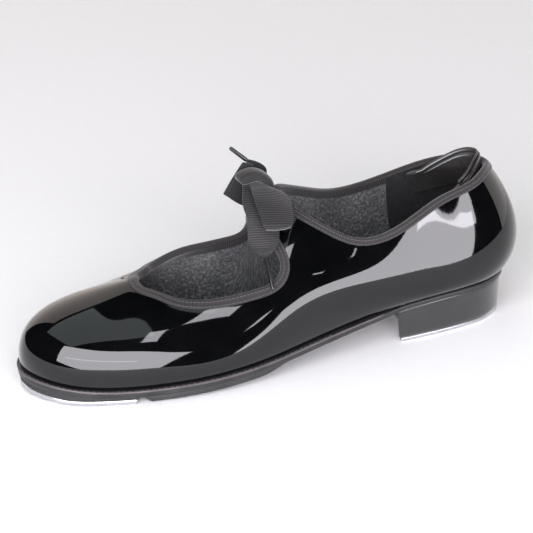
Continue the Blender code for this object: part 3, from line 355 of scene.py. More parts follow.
def on_last(targets):
    """(u, w) of the points of the last nearest to the targets."""
    u, w = np.meshgrid(np.arange(600) / 600, np.linspace(0.2, 1, 201), indexing="ij")
    grid = last(u, w)
    found = []
    for target in targets:
        gap = np.linalg.norm(grid - np.array(target), axis=-1)
        i, j = np.unravel_index(np.argmin(gap), gap.shape)
        guess = np.array([u[i, j], w[i, j]])
        for _ in range(4):
            here = last(*guess)
            du = (last(guess[0] + NUDGE, guess[1]) - here) / NUDGE
            dw = (last(guess[0], guess[1] + NUDGE) - here) / NUDGE
            step = np.linalg.lstsq(np.stack([du, dw], 1), np.array(target) - here, rcond=None)[0]
            guess = guess + np.clip(step, -0.02, 0.02)
        found.append(guess)
    return np.array(found)


def topline_curve():
    """Smooth curve round the topline, with the rows of TOPLINE moved onto the last."""
    rows = np.array(TOPLINE)
    top = on_last(rows[:, :3])
    for i in range(1, len(top)):
        top[i, 0] += round(rows[i, 3] - top[i, 0])
    top[0, 0] -= round(top[0, 0])
    point = last(top[:, 0], top[:, 1])
    run = lengths(np.vstack([point, point[:1]]))
    share = run / run[-1]
    # The seam at the throat vertex: u goes on to 1, so each u column is unrolled before it is smoothed.
    unrolled = np.column_stack([top[:, 0] - share[:-1], top[:, 1], rows[:, 3] - share[:-1]])
    return spline(share[:-1], unrolled, 1.0)


TOPLINE_AT = topline_curve()


def edge_uw(t):
    """At t round the topline: u and w of the edge, and u of the feather point below it."""
    value = TOPLINE_AT(t)
    return value[:, 0] + t, value[:, 1], value[:, 2] + t


def column_uw(t, v):
    """Grid of the upper: t round the topline, v from the feather line up to the topline."""
    u_top, w_top, u_bottom = edge_uw(t)
    v = np.atleast_1d(v)[None, :]
    return u_bottom[:, None] * (1 - v) + u_top[:, None] * v, w_top[:, None] * v


def edge_point(t, down, out):
    """Point of the topline at t, moved down the surface and out along its normal."""
    u, w, _ = edge_uw(t)
    u2, w2, _ = edge_uw(t + NUDGE)
    here = last(u, w)
    run = unit(last(u2, w2) - here)
    du = (last(u + NUDGE, w) - here) / NUDGE
    dw = (last(u, w + NUDGE) - here) / NUDGE
    drop = np.cross(run, unit(np.cross(du, dw)))
    # Metric of the surface turns the drop into steps of u and w.
    uu = np.sum(du * du, -1)
    uw = np.sum(du * dw, -1)
    ww = np.sum(dw * dw, -1)
    bu = np.sum(du * drop, -1)
    bw = np.sum(dw * drop, -1)
    det = uu * ww - uw * uw
    step_u = (ww * bu - uw * bw) / det
    step_w = (uu * bw - uw * bu) / det
    return last(u + step_u * down, w + step_w * down, out)


def stations(count):
    """Places t round the shoe, evenly spread over the topline and the feather line together."""
    t = np.linspace(0, 1, 8001)
    u, w, foot = edge_uw(t)
    run = np.linalg.norm(np.diff(last(u, w), axis=0), axis=1)
    run = run + 0.8 * np.linalg.norm(np.diff(last(foot, 0 * foot), axis=0), axis=1)
    total = np.concatenate([[0], np.cumsum(run)])
    return np.interp(np.arange(count) / count * total[-1], total, t)


def between(first, end, count):
    """Places t from first to end, even along the topline."""
    t = np.linspace(first, end, 3001)
    u, w, _ = edge_uw(t)
    total = lengths(last(u, w))
    return np.interp(np.linspace(0, total[-1], count), total, t)


def side_curves():
    """Outer and inner half of the feather line, each from the toe tip to the heel."""
    curve = outline(np.linspace(0, 1, 2001))
    tip = int(np.argmin(curve[:, 1]))
    heel = int(np.argmax(curve[:, 1]))
    inner = np.concatenate([curve[heel:-1], curve[: tip + 1]])[::-1]
    return curve[tip : heel + 1], inner


def offset_curve(curve, amount):
    """The curve moved sideways by amount, to the right of its run."""
    run = np.gradient(curve, axis=0)
    run /= np.linalg.norm(run, axis=1)[:, None] + 1e-12
    return curve + np.stack([run[:, 1], -run[:, 0]], 1) * amount


OUTER_SIDE, INNER_SIDE = side_curves()


def plan(inset):
    """(first s, last s, x of the outer side, x of the inner side) of the feather line moved in by inset."""
    outer = offset_curve(OUTER_SIDE, -inset)
    inner = offset_curve(INNER_SIDE, inset)
    first = max(outer[:, 1].min(), inner[:, 1].min())
    end = min(outer[:, 1].max(), inner[:, 1].max())

    def outer_x(s):
        return float(np.interp(s, outer[:, 1], outer[:, 0]))

    def inner_x(s):
        return float(np.interp(s, inner[:, 1], inner[:, 0]))

    return first, end, outer_x, inner_x


def toe_to_heel(first, end, count):
    """Stations along s, close together at both ends."""
    angle = np.linspace(0.06, math.pi - 0.06, count)
    return first + (end - first) * (1 - np.cos(angle)) / 2


def toe_dense(first, end, count):
    """Stations along s, close together at the toe."""
    angle = np.linspace(0.1, math.pi / 2, count)
    return first + (end - first) * (1 - np.cos(angle))


def heel_dense(first, end, count):
    """Stations along s, close together at the heel."""
    angle = np.linspace(0.0, math.pi / 2 - 0.1, count)
    return first + (end - first) * np.sin(angle)


def sole_top(s):
    """Upper face of the outsole, a gap below the feather line."""
    return float(floor_z(np.array([s]))[0]) - GAP


def sole_thickness(s):
    """The outsole thins from the waist to the heel seat."""
    return OUTSOLE_THICK + (OUTSOLE_HEEL_THICK - OUTSOLE_THICK) * float(ease((s - WAIST) / 45))


def sole_bottom(s):
    return sole_top(s) - sole_thickness(s)


# ---------------------------------------------------------------- making pieces
# Names of the two bodies, the rear of the foot and the toe.
REAR = "rearfoot"
TOE = "forefoot"
UPRIGHT = (0.0, 0.0, 1.0)
SIDE_GUIDE = (0.31, 0.11, 0.94)  # a direction that no cord here runs along


def to_world(points):
    """Points of the work frame, in mm, as points of the world in metres."""
    return (np.asarray(points, float) - np.array([CENTRE_X, CENTRE_S, 0.0])) * MM


def loft(name, rows, look, around=False, smooth=40.0, even=True):
    """Closed mesh through rows[i][j], in mm: i along the piece or all the way around, j round its section.

    Its UV holds the lengths along and round the piece in metres, for weaves and ribs."""
    rows = np.asarray(rows, float)
    ni, nj, _ = rows.shape
    wide = np.concatenate([rows, rows[:1]], axis=0) if around else rows
    wide = np.concatenate([wide, wide[:, :1]], axis=1)
    along = lengths(wide, 0)
    if even:
        along = np.repeat(along.mean(axis=1, keepdims=True), wide.shape[1], axis=1)
    uv = np.stack([along, lengths(wide, 1)], axis=-1) * MM
    i, j = np.meshgrid(np.arange(wide.shape[0] - 1), np.arange(wide.shape[1] - 1), indexing="ij")
    i = i.ravel()
    j = j.ravel()
    corner = [(i, j), (i, j + 1), (i + 1, j + 1), (i + 1, j)]
    index = np.stack([(a % ni) * nj + (b % nj) for a, b in corner], axis=1)
    faces = index.tolist()
    places = np.stack([uv[a, b] for a, b in corner], axis=1).reshape(-1, 2)
    if not around:
        for row, turn in ((0, 1), (ni - 1, -1)):
            faces.append([row * nj + k for k in range(nj)][::turn])
            places = np.concatenate([places, uv[row, :nj][::turn]])
    points = rows.reshape(-1, 3)
    a, b, c, d = (points[index[:, k]] for k in range(4))
    volume = np.sum(np.cross(a, b) * c) + np.sum(np.cross(a, c) * d)
    if volume < 0:
        faces, places = flipped(faces, places)
    return mesh_object(name, points, faces, look, smooth, places)


def flipped(faces, places):
    """The faces and their UV places turned the other way round."""
    made = []
    moved = []
    at = 0
    for face in faces:
        made.append(face[::-1])
        moved.append(places[at : at + len(face)][::-1])
        at += len(face)
    return made, np.concatenate(moved)


def mesh_object(name, points, faces, look, smooth, uv=None):
    mesh = bpy.data.meshes.new(name)
    mesh.from_pydata(to_world(points).tolist(), [], faces)
    if uv is not None:
        layer = mesh.uv_layers.new(name="length")
        layer.data.foreach_set("uv", np.asarray(uv, np.float32).ravel())
    mesh.materials.append(look)
    mesh.polygons.foreach_set("use_smooth", [True] * len(mesh.polygons))
    mesh.set_sharp_from_angle(angle=math.radians(smooth))
    obj = bpy.data.objects.new(name, mesh)
    bpy.context.scene.collection.objects.link(obj)
    return obj


def place(obj, body, slot, *nodes):
    """body is a body's name, or "bend" for a piece that crosses the ball of the foot."""
    if body == "bend":
        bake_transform(obj)
    else:
        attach(obj, body)
    if nodes:
        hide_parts(*nodes)


def capsules(name, starts, ends, radius, look, flat):
    """Many short rounded threads in one mesh, flattened along the flat directions."""
    points = []
    faces = []
    sides = 6
    for a, b, up in zip(starts, ends, flat):
        run = unit(b - a)
        side = unit(np.cross(run, up))
        up = np.cross(side, run)
        tip = run * radius * 0.7
        base = len(points)
        for centre, size in ((a - tip, 0.35), (a, 0.8), ((a + b) / 2, 1.0), (b, 0.8), (b + tip, 0.35)):
            for m in range(sides):
                angle = 2 * math.pi * m / sides
                spoke = side * math.cos(angle) + 0.75 * up * math.sin(angle)
                points.append(centre + radius * size * spoke)
        for r in range(4):
            for m in range(sides):
                n = (m + 1) % sides
                p = base + r * sides
                q = p + sides
                faces.append([p + m, p + n, q + n, q + m])
        faces.append([base + m for m in range(sides)][::-1])
        faces.append([base + 4 * sides + m for m in range(sides)])
    return mesh_object(name, np.array(points), faces, look, 60.0)


def stitch_row(name, line, normals, pitch, length, radius, look):
    """Stitches along a line of points that lie on a surface."""
    run = lengths(line)
    at = np.arange(int(run[-1] / pitch)) * pitch

    def spots(places, rows):
        return np.stack([np.interp(places, run, rows[:, k]) for k in range(3)], -1)

    return capsules(name, spots(at, line), spots(at + length, line), radius, look, spots(at, normals))


def smooth_path(points, count):
    """count points along a smooth curve through the points."""
    points = np.array(points, float)
    t = np.arange(len(points))
    return spline(t, points)(np.linspace(0, len(points) - 1, count))


def band(name, places, count, look, cup):
    """Ribbon of even thickness through its stations, arched across its width by cup."""
    centres = smooth_path([centre for centre, _ in places], count)
    across = smooth_path([half for _, half in places], count)
    normal = unit(np.cross(np.gradient(centres, axis=0), across))
    width = np.linalg.norm(across, axis=1)[:, None]
    arch = normal * cup * np.clip(width / 8.0, 0, 1)
    shares = np.linspace(-1, 1, 11)
    rows = []
    for side, order in ((1, shares), (-1, shares[::-1])):
        lift = side * normal * RIBBON_THICK / 2
        rows += [centres + across * share + arch * (1 - share**2) + lift for share in order]
    return loft(name, np.stack(rows, axis=1), look, smooth=50)


def swept(path, run, guide, sides, wide, tall, flutes=0.0):
    """Rings of an oval section along a path that runs along run. Flutes make it gathered."""
    run = unit(run)
    side = unit(np.cross(run, guide))
    up = np.cross(side, run)
    rows = []
    for k in range(sides):
        angle = 2 * math.pi * k / sides
        ripple = flutes * math.cos(7 * angle)
        rows.append(path + (wide + ripple) * side * math.cos(angle) + (tall + ripple) * up * math.sin(angle))
    return np.stack(rows, axis=1)


# ---------------------------------------------------------------- materials
class Nodes:
    """Small helper that builds a Principled material from textures on the UV lengths or on the object."""

    def __init__(self, name):
        self.material = bpy.data.materials.new(name)
        self.material.use_nodes = True
        self.tree = self.material.node_tree
        self.shader = self.tree.nodes["Principled BSDF"]

    def add(self, kind, **settings):
        node = self.tree.nodes.new(kind)
        for key, value in settings.items():
            if key in node.inputs:
                node.inputs[key].default_value = value
            else:
                setattr(node, key, value)
        return node

    def link(self, output, target):
        self.tree.links.new(output, target)

    def coordinates(self, scale=(1, 1, 1), uv=True):
        """Lengths on the surface, or places in the object, in metres times scale."""
        source = self.add("ShaderNodeTexCoord")
        mapping = self.add("ShaderNodeMapping")
        mapping.inputs["Scale"].default_value = scale
        self.link(source.outputs["UV" if uv else "Object"], mapping.inputs["Vector"])
        return mapping.outputs["Vector"]

    def noise(self, vector, scale, detail=2.0, rough=0.5):
        node = self.add("ShaderNodeTexNoise", Scale=scale, Detail=detail, Roughness=rough)
        self.link(vector, node.inputs["Vector"])
        return node.outputs["Fac"]

    def waves(self, vector, direction, pitch):
        """Even bands, one every pitch metres."""
        node = self.add("ShaderNodeTexWave", Scale=0.1 * math.pi / pitch, Detail=1.0)
        node.bands_direction = direction
        self.link(vector, node.inputs["Vector"])
        return node.outputs["Fac"]

    def cells(self, vector, scale):
        node = self.add("ShaderNodeTexVoronoi", Scale=scale)
        self.link(vector, node.inputs["Vector"])
        return node.outputs["Distance"]

    def ramp(self, value, *stops):
        """Colours at positions along a value, as (position, colour) stops."""
        node = self.add("ShaderNodeValToRGB")
        elements = node.color_ramp.elements
        while len(elements) < len(stops):
            elements.new(0.5)
        for element, (position, colour) in zip(elements, stops):
            element.position = position
            element.color = (*colour, 1.0)
        self.link(value, node.inputs["Fac"])
        return node.outputs["Color"]

    def grey(self, value, *stops):
        return self.ramp(value, *((position, (level,) * 3) for position, level in stops))

    def math(self, operation, a, b):
        node = self.add("ShaderNodeMath", operation=operation)
        for k, source in enumerate((a, b)):
            if isinstance(source, (int, float)):
                node.inputs[k].default_value = source
            else:
                self.link(source, node.inputs[k])
        return node.outputs["Value"]

    def bump(self, height, distance, strength=1.0, before=None):
        node = self.add("ShaderNodeBump", Strength=strength, Distance=distance)
        self.link(height, node.inputs["Height"])
        if before is not None:
            self.link(before, node.inputs["Normal"])
        return node.outputs["Normal"]

    def finish(self, colour, roughness, normal=None, **sockets):
        """colour and roughness are outputs or plain values; other sockets take plain values."""
        for target, value in (("Base Color", colour), ("Roughness", roughness)):
            if isinstance(value, bpy.types.NodeSocket):
                self.link(value, self.shader.inputs[target])
            else:
                self.shader.inputs[target].default_value = (*value, 1.0) if target == "Base Color" else value
        if normal is not None:
            self.link(normal, self.shader.inputs["Normal"])
        for key, value in sockets.items():
            self.shader.inputs[key.replace("_", " ")].default_value = value
        return self.material


def patent():
    n = Nodes("black_patent")
    space = n.coordinates(uv=False)
    slow = n.noise(space, 26.0, 1.0, 0.4)
    peel = n.noise(space, 900.0)
    haze = n.noise(space, 60.0, 3.0, 0.6)
    normal = n.bump(peel, 0.00001, 0.25, n.bump(slow, 0.0006, 0.35))
    rough = n.grey(haze, (0.3, 0.035), (0.75, 0.075))
    colour = n.ramp(haze, (0.3, (0.0010, 0.0011, 0.0013)), (0.8, (0.0024, 0.0026, 0.0030)))
    made = n.finish(colour, rough, normal, Coat_Weight=1.0, Coat_Roughness=0.03, Specular_IOR_Level=0.06)
    n.link(normal, n.shader.inputs["Coat Normal"])
    return made


def knit(name, dark, light, fleck):
    """Brushed knit lining: fine loops, mottled by lighter yarn."""
    n = Nodes(name)
    uv = n.coordinates()
    loops = n.cells(uv, 1500.0)
    mottle = n.noise(uv, 620.0, 3.0, 0.75)
    broad = n.noise(uv, 70.0)
    mixed = n.math("ADD", n.math("MULTIPLY", mottle, 0.8), n.math("MULTIPLY", broad, 0.2))
    colour = n.ramp(mixed, (0.40, dark), (0.52, light), (0.66, fleck))
    normal = n.bump(mottle, 0.0003, 0.6, n.bump(loops, 0.0002, 0.7))
    return n.finish(colour, 0.95, normal, Sheen_Weight=0.25, Sheen_Roughness=0.6, Specular_IOR_Level=0.2)


def ribbed(name, pitch, dark, light, depth=0.00012):
    """Grosgrain: ribs across the length, with fine warp yarns over them. Its rib crests are coloured lighter
    than the troughs as painted highlight.
    """
    n = Nodes(name)
    uv = n.coordinates()
    rib = n.waves(uv, "X", pitch)
    yarn = n.waves(uv, "Y", 0.00045)
    speck = n.noise(uv, 1400.0, 2.0, 0.7)
    # Rib crests are coloured lighter than the troughs: painted highlight, flecked by random yarn tone.
    rib_highlight = n.math("MULTIPLY", rib, n.math("ADD", n.math("MULTIPLY", speck, 0.9), 0.45))
    colour = n.ramp(rib_highlight, (0.15, dark), (0.8, light))
    normal = n.bump(yarn, 0.00004, 0.6, n.bump(rib, depth, 1.0))
    normal = n.bump(speck, 0.00005, 0.5, normal)
    return n.finish(colour, 0.62, normal, Sheen_Weight=0.35, Sheen_Roughness=0.4, Specular_IOR_Level=0.35)


def smooth_cloth(name, dark, light):
    n = Nodes(name)
    uv = n.coordinates()
    weave = n.math("MULTIPLY", n.waves(uv, "X", 0.0006), n.waves(uv, "Y", 0.0006))
    speck = n.noise(uv, 400.0, 3.0, 0.6)
    colour = n.ramp(speck, (0.35, dark), (0.7, light))
    return n.finish(colour, 0.7, n.bump(weave, 0.00006, 0.8), Sheen_Weight=0.15, Specular_IOR_Level=0.3)


def grained(name, dark, light, rough, cell, depth, coat=0.0):
    """Moulded or embossed surface: small cells, faint haze."""
    n = Nodes(name)
    space = n.coordinates(uv=False)
    haze = n.noise(space, 90.0, 4.0, 0.6)
    normal = n.bump(haze, 0.0002, 0.15, n.bump(n.cells(space, cell), depth, 0.5))
    roughness = n.grey(haze, (0.3, rough * 0.82), (0.7, min(1.0, rough * 1.2)))
    colour = n.ramp(haze, (0.3, dark), (0.7, light))
    return n.finish(colour, roughness, normal, Coat_Weight=coat, Coat_Roughness=0.15)


def tap_metal():
    n = Nodes("cast_aluminium_tap")
    space = n.coordinates(uv=False)
    cast = n.noise(space, 420.0, 4.0, 0.6)
    wear = n.noise(space, 60.0, 3.0, 0.65)
    brushed = n.coordinates((900.0, 30.0, 900.0), uv=False)
    lines = n.noise(brushed, 1.0, 2.0, 0.6)
    normal = n.bump(lines, 0.00002, 0.35, n.bump(cast, 0.00004, 0.35))
    colour = n.ramp(wear, (0.3, (0.50, 0.51, 0.53)), (0.75, (0.62, 0.62, 0.63)))
    return n.finish(colour, n.grey(cast, (0.2, 0.24), (0.8, 0.42)), normal, Metallic=1.0)


def plated_steel():
    n = Nodes("zinc_plated_steel")
    spots = n.noise(n.coordinates(uv=False), 900.0, 3.0, 0.6)
    colour = n.ramp(spots, (0.3, (0.50, 0.50, 0.52)), (0.7, (0.70, 0.70, 0.70)))
    rough = n.grey(spots, (0.2, 0.22), (0.8, 0.4))
    return n.finish(colour, rough, n.bump(spots, 0.00002, 0.4), Metallic=1.0)


def fibre(name, dark, light, metal=0.0, rough=0.85):
    """Boards, cork and other inner parts."""
    n = Nodes(name)
    chips = n.noise(n.coordinates(uv=False), 700.0, 4.0, 0.7)
    colour = n.ramp(chips, (0.3, dark), (0.7, light))
    return n.finish(colour, rough, n.bump(chips, 0.0001, 0.5), Metallic=metal)


def thread(name, colour):
    n = Nodes(name)
    twist = n.noise(n.coordinates(uv=False), 2500.0, 2.0, 0.6)
    dark = tuple(0.55 * c for c in colour)
    twisted = n.ramp(twist, (0.3, dark), (0.7, colour))
    return n.finish(twisted, 0.6, n.bump(twist, 0.00005, 0.6), Sheen_Weight=0.3)


def looks():
    """Every material by its short name. Colours are linear: the dark one first, then the light one."""
    black, near_black = (0.012, 0.012, 0.013), (0.014, 0.014, 0.015)
    made = {"patent": patent(), "tap": tap_metal(), "steel": plated_steel()}
    for maker, key, *settings in (
        (knit, "knit", "grey_knit_lining", (0.012, 0.014, 0.015), (0.055, 0.058, 0.060), (0.17,) * 3),
        (knit, "sock", "grey_sock_knit", (0.008, 0.009, 0.010), (0.032, 0.034, 0.035), (0.10,) * 3),
        (smooth_cloth, "heel_cloth", "black_heel_lining", (0.0030, 0.0036, 0.0040), (0.010, 0.011, 0.012)),
        (ribbed, "binding", "black_ribbed_binding", 0.0010, (0.0025, 0.0025, 0.0028), (0.032, 0.028, 0.028)),
        (ribbed, "ribbon", "black_grosgrain_ribbon", 0.00115, (0.001, 0.0011, 0.0012), (0.026, 0.024, 0.025)),
        # Darker copy of the ribbon colour for the far loop, the far tail and the strap: painted shade.
        (ribbed, "dark_ribbon", "black_grosgrain_ribbon_far", 0.00115, (0.0008, 0.0009, 0.001), (0.007,) * 3),
        # Lighter copy of the ribbon colour for the knot wrap: painted light on its top.
        (ribbed, "knot", "black_grosgrain_ribbon_knot", 0.0011,
         (0.010, 0.0095, 0.0098), (0.026, 0.0235, 0.0235), 6e-5),
        (grained, "vinyl", "black_padded_vinyl",
         (0.017, 0.016, 0.016), (0.028, 0.026, 0.026), 0.27, 900.0, 4e-5, 0.4),
        (grained, "sole", "black_resin_outsole", black, (0.026, 0.026, 0.027), 0.38, 800.0, 3e-5),
        # Sole rim bead coloured lighter than the sole: painted highlight along its top edge.
        (grained, "rim", "polished_sole_rim", (0.055, 0.046, 0.047), (0.10, 0.086, 0.088), 0.35, 800.0, 3e-5),
        (grained, "rubber", "black_rubber_pad", near_black, (0.03, 0.03, 0.031), 0.55, 900.0, 1e-4),
        (grained, "heel", "black_gloss_heel", (0.010,) * 3, (0.016,) * 3, 0.22, 1200.0, 1e-5, 0.6),
        (grained, "tip", "black_ribbon_tip", (0.008, 0.008, 0.009), near_black, 0.22, 900.0, 2e-5, 0.3),
        (grained, "eyelet", "black_enamel_eyelet",
         (0.010, 0.010, 0.011), (0.018, 0.018, 0.019), 0.25, 900.0, 1e-5, 0.5),
        (fibre, "shank", "blued_spring_steel", (0.12, 0.13, 0.16), (0.24, 0.25, 0.28), 1.0, 0.4),
        (fibre, "board", "brown_fibre_board", (0.13, 0.08, 0.05), (0.26, 0.17, 0.11)),
        (fibre, "tap_board", "black_fibre_board", black, (0.03, 0.03, 0.031), 0.0, 0.7),
        (fibre, "cork", "cork_filler", (0.16, 0.09, 0.045), (0.36, 0.23, 0.13)),
        (fibre, "stiffener", "grey_stiffener", (0.28, 0.27, 0.25), (0.42, 0.41, 0.39)),
        (thread, "thread", "grey_thread", (0.075, 0.068, 0.070)),
    ):
        made[key] = maker(*settings)
    return made


# ---------------------------------------------------------------- upper and linings
ROUND = 420  # steps round the shoe in the fine pieces


def build_upper(look):
    t = stations(ROUND)
    levels = np.concatenate([np.linspace(0, 0.06, 7)[:-1], np.linspace(0.06, 1.0, 42)])
    u, w = column_uw(t, levels)
    outside = last(u, w)
    inside = last(u[:, ::3], w[:, ::3], -UPPER_THICK)[:, ::-1]
    foot = outside[:, 0]
    turned = ((9.0, 1.2), (9.0, 0.0), (4.0, 0.0), (1.5, 0.0))
    margin = [margin_point(foot, inward, up)[:, None] for inward, up in turned]
    rows = np.concatenate([outside, inside[:, :-1]] + margin, axis=1)
    place(loft("upper_patent", rows, look["patent"], around=True), "bend", "patent", "upper")


def margin_point(foot, inward, up):
    """Point of the turned-under lasting margin, measured in from the feather line."""
    middle = np.stack([0 * foot[:, 0] - 1.0, np.clip(foot[:, 1], 40, 225)], 1)
    run = unit(middle - foot[:, :2])
    point = foot.copy()
    point[:, :2] += run * inward
    point[:, 2] = floor_z(point[:, 1]) + up
    return point


def lining(name, t, look, depth=0.0):
    """Lining skin along the places t, depth mm further in than the front lining."""
    u, w = column_uw(t, np.linspace(0.05, 1.0, 30))
    outer = -(UPPER_THICK + LINING_GAP) - depth
    rows = np.concatenate([last(u, w, outer), last(u, w, outer - LINING_THICK)[:, ::-1]], axis=1)
    return loft(name, rows, look)


def build_linings(look):
    t = between(LINING_JOIN_INNER - 1.0, LINING_JOIN_OUTER, 360)
    place(lining("vamp_lining_knit", t, look["knit"]), "bend", "lining", "vamp_lining")
    t = between(LINING_JOIN_OUTER - 0.008, LINING_JOIN_INNER + 0.008, 120)
    heel = lining("heel_lining_cloth", t, look["heel_cloth"], 0.75)
    place(heel, REAR, "heel_lining", "heel_lining")


def binding_width(t):
    """Outer width of the bound edge: wider round the throat than along the quarters."""
    t = np.asarray(t) % 1.0
    away = np.abs(t - 0.53)
    back = np.minimum(away, 1.0 - away)
    tab = np.exp(-(((t - 0.19) / 0.035) ** 2))
    return 3.1 + 1.1 * ease((back - 0.22) / 0.16) - 0.9 * tab


def build_binding(look):
    t = stations(720)
    wide = binding_width(t)
    level = 0 * t
    ring = [(1.0, 0.04), (1.0, 0.34), (0.97, 0.48)]
    ring += [(x, 0.56 + 0.10 * math.sin(x * 9)) for x in (0.85, 0.72, 0.6, 0.48, 0.36, 0.24, 0.12)]
    rows = [edge_point(t, wide * share, out) for share, out in ring]
    half = (EDGE_STACK + 1.3) / 2
    for angle in np.linspace(0.0, math.pi, 11):
        rows.append(edge_point(t, -0.25 - 0.75 * math.sin(angle), 0.6 - half + half * math.cos(angle)))
    inside = -(EDGE_STACK + 0.7)
    inner_wide = wide * 1.05
    rows += [edge_point(t, inner_wide * share, inside) for share in (0.15, 0.4, 0.65, 0.9, 1.0)]
    rows.append(edge_point(t, inner_wide, inside + 0.5))
    rows += [edge_point(t, level - 0.1, out) for out in (inside + 0.5, 0.04)]
    tape = np.stack(rows, axis=1)
    body = loft("topline_binding_tape", tape, look["binding"], around=True, smooth=60)
    place(body, "bend", "binding", "topline_binding")
    for name, share in (("binding_stitches_low", 0.80), ("binding_stitches_high", 0.22)):
        line = edge_point(t, wide * share, 0.66)
        normal = edge_point(t, wide * share, 1.66) - line
        line, normal = (np.vstack([rows, rows[:1]]) for rows in (line, normal))
        place(stitch_row(name, line, normal, *EDGE_STITCH, look["thread"]), "bend", "binding")


# ---------------------------------------------------------------- padded collar
def collar_point(t, down, out):
    """Point below the edge on the last, or above it on the collar, which stands nearly upright."""
    low = edge_point(t, np.maximum(down, 0.0), out)
    level = edge_point(t, 0.0 * t, out) - edge_point(t, 0.0 * t, out - 1.0)
    level[:, 2] = 0.0
    lift = np.clip(-down, 0.0, None)[:, None]
    return low + lift * (np.array(UPRIGHT) - 0.12 * level)


def collar_height(t):
    """How far the padded collar stands above the topline: nothing at its ends, most at the back."""
    side = np.where(t < COLLAR_BACK, (COLLAR_BACK - t) / 0.078, (t - COLLAR_BACK) / 0.066)
    return COLLAR_RISE * np.clip(1 - np.abs(side) ** 1.6, 0, None) - 1.2


def build_collar(look):
    t = between(*COLLAR_ENDS, 140)
    rise = collar_height(t)
    stack = -(UPPER_THICK + LINING_THICK + 1.9)
    end = np.clip(np.minimum(t - t[0], t[-1] - t) / 0.02, 0, 1) ** 0.5
    thick = 0.9 + 3.0 * end
    low = 15.0  # how far the pad reaches down inside the shoe
    front = [(share, 0.0) for share in np.linspace(0, 1.84, 16)]
    turn = np.linspace(0.3, math.pi - 0.3, 9)
    top = [(1.92 + 0.08 * math.sin(a), 0.5 - 0.5 * math.cos(a)) for a in turn]
    back = []
    for share in np.linspace(1.84, 0.0, 18):
        back.append((share, 1.0 - 0.07 * (2 - share) ** 2 + 0.07 * math.sin(math.pi * share / 2)))
    rows = []
    for share, depth in front + top + back:
        down = low * max(1 - share, 0.0) - rise * max(share - 1, 0.0)
        rows.append(collar_point(t, down, stack - depth * thick))
    pad = loft("collar_padding", np.stack(rows, axis=1), look["vinyl"], smooth=60)
    place(pad, REAR, "vinyl", "collar_pad")
    t = between(*PIPING_ENDS, 160)
    rise = collar_height(t)
    rows = []
    for angle in np.linspace(0, 2 * math.pi, 15)[:-1]:
        down = -rise - 1.0 - PIPING_RADIUS * math.cos(angle)
        rows.append(collar_point(t, down, stack - 1.95 + PIPING_RADIUS * math.sin(angle)))
    piping = loft("collar_piping_cord", np.stack(rows, axis=1), look["vinyl"], smooth=60)
    place(piping, REAR, "vinyl", "collar_piping")
    line = collar_point(t, -rise + 1.9, stack + 0.08)
    normal = collar_point(t, -rise + 1.9, stack + 1.08) - line
    place(stitch_row("collar_stitches", line, normal, *COLLAR_STITCH, look["thread"]), REAR, "vinyl")


# ---------------------------------------------------------------- bottom
def rounded(a, b, z0, z1, edge, crown):
    """Ring of (x, z) of a plate between x a and b, heights z0 and z1, its edges rounded."""
    e = min(edge, (z1 - z0) * 0.48, (b - a) * 0.25)
    left, right = a + e, b - e
    low, high = z0 + e, z1 - e
    ring = []

    def corner(x, z, start):
        for angle in np.linspace(start, start + math.pi / 2, 4):
            ring.append((x + e * math.cos(angle), z + e * math.sin(angle)))

    def flat(first, end, z, arch):
        for share in np.linspace(0, 1, 9)[1:-1]:
            ring.append((first + (end - first) * share, z + arch * (1 - (2 * share - 1) ** 2)))

    corner(left, low, math.pi)
    flat(left, right, z0, 0.0)
    corner(right, low, 1.5 * math.pi)
    corner(right, high, 0.0)
    flat(right, left, z1, crown)
    corner(left, high, 0.5 * math.pi)
    return ring


def bottom_plate(name, at, sides, low, high, look, edge, crown=0.0):
    """Plate through the stations at, between the outer and inner sides and the heights low and high."""
    rows = []
    for s in at:
        ring = rounded(sides[1](s), sides[0](s), low(s), high(s), edge, crown)
        rows.append([(x, s, z) for x, z in ring])
    return loft(name, rows, look, smooth=50, even=False)


def build_outsole(look):
    first, _, outer_x, inner_x = plan(-SOLE_OUT)
    at = toe_to_heel(first, plan(0.4)[1], 150)

    def seat(side):
        """The edge draws in under the heel seat, where the upper sits straight on the block."""
        return lambda s: side(s) * (1 - 0.055 * float(ease((s - 172) / 18)))

    def top(s):
        return sole_top(s) + 0.2

    sides = (seat(outer_x), seat(inner_x))
    sole = bottom_plate("outsole_plate", at, sides, sole_bottom, top, look["sole"], 0.7)
    place(sole, "bend", "outsole", "outsole")
    # Upper edge of the sole as a bead coloured lighter than the sole, a painted highlight; it runs out under
    # the upper at the heel.
    line = side_line(-RIM_OUT, 700)
    hidden = ease((line[:, 1:] - 168) / 20)
    line = line + (side_line(1.5, 700) - line) * hidden
    path = np.column_stack([line, floor_z(line[:, 1]) - 0.45 - 0.6 * hidden[:, 0]])
    run = np.roll(path, -1, axis=0) - np.roll(path, 1, axis=0)
    bead = swept(path, run, UPRIGHT, 10, 0.42, 0.55)
    place(loft("outsole_rim", bead, look["rim"], around=True, smooth=60), "bend", "outsole")
    # Welt stitches on the ledge beside the upper, from the waist round the toe to the waist.
    line = side_line(-STITCH_OUT, 900)
    path = np.column_stack([line, floor_z(line[:, 1]) + 0.05])
    start = int(np.argmin(np.abs(path[:, 1] - WAIST) - 1000 * (path[:, 0] < 0)))
    path = np.roll(path, -start, axis=0)
    path = path[path[:, 1] < WAIST]
    up = np.tile(UPRIGHT, (len(path), 1))
    place(stitch_row("welt_stitches", path, up, *WELT_STITCH, look["thread"]), "bend", "outsole")


def side_line(inset, count):
    """Closed line round the sole, seen from above, at an inset from the feather line."""
    u = np.linspace(0, 1, count + 1)[:-1]
    curve = outline(u)
    run = unit(outline(u + NUDGE) - outline(u - NUDGE))
    return curve - np.stack([run[:, 1], -run[:, 0]], 1) * inset


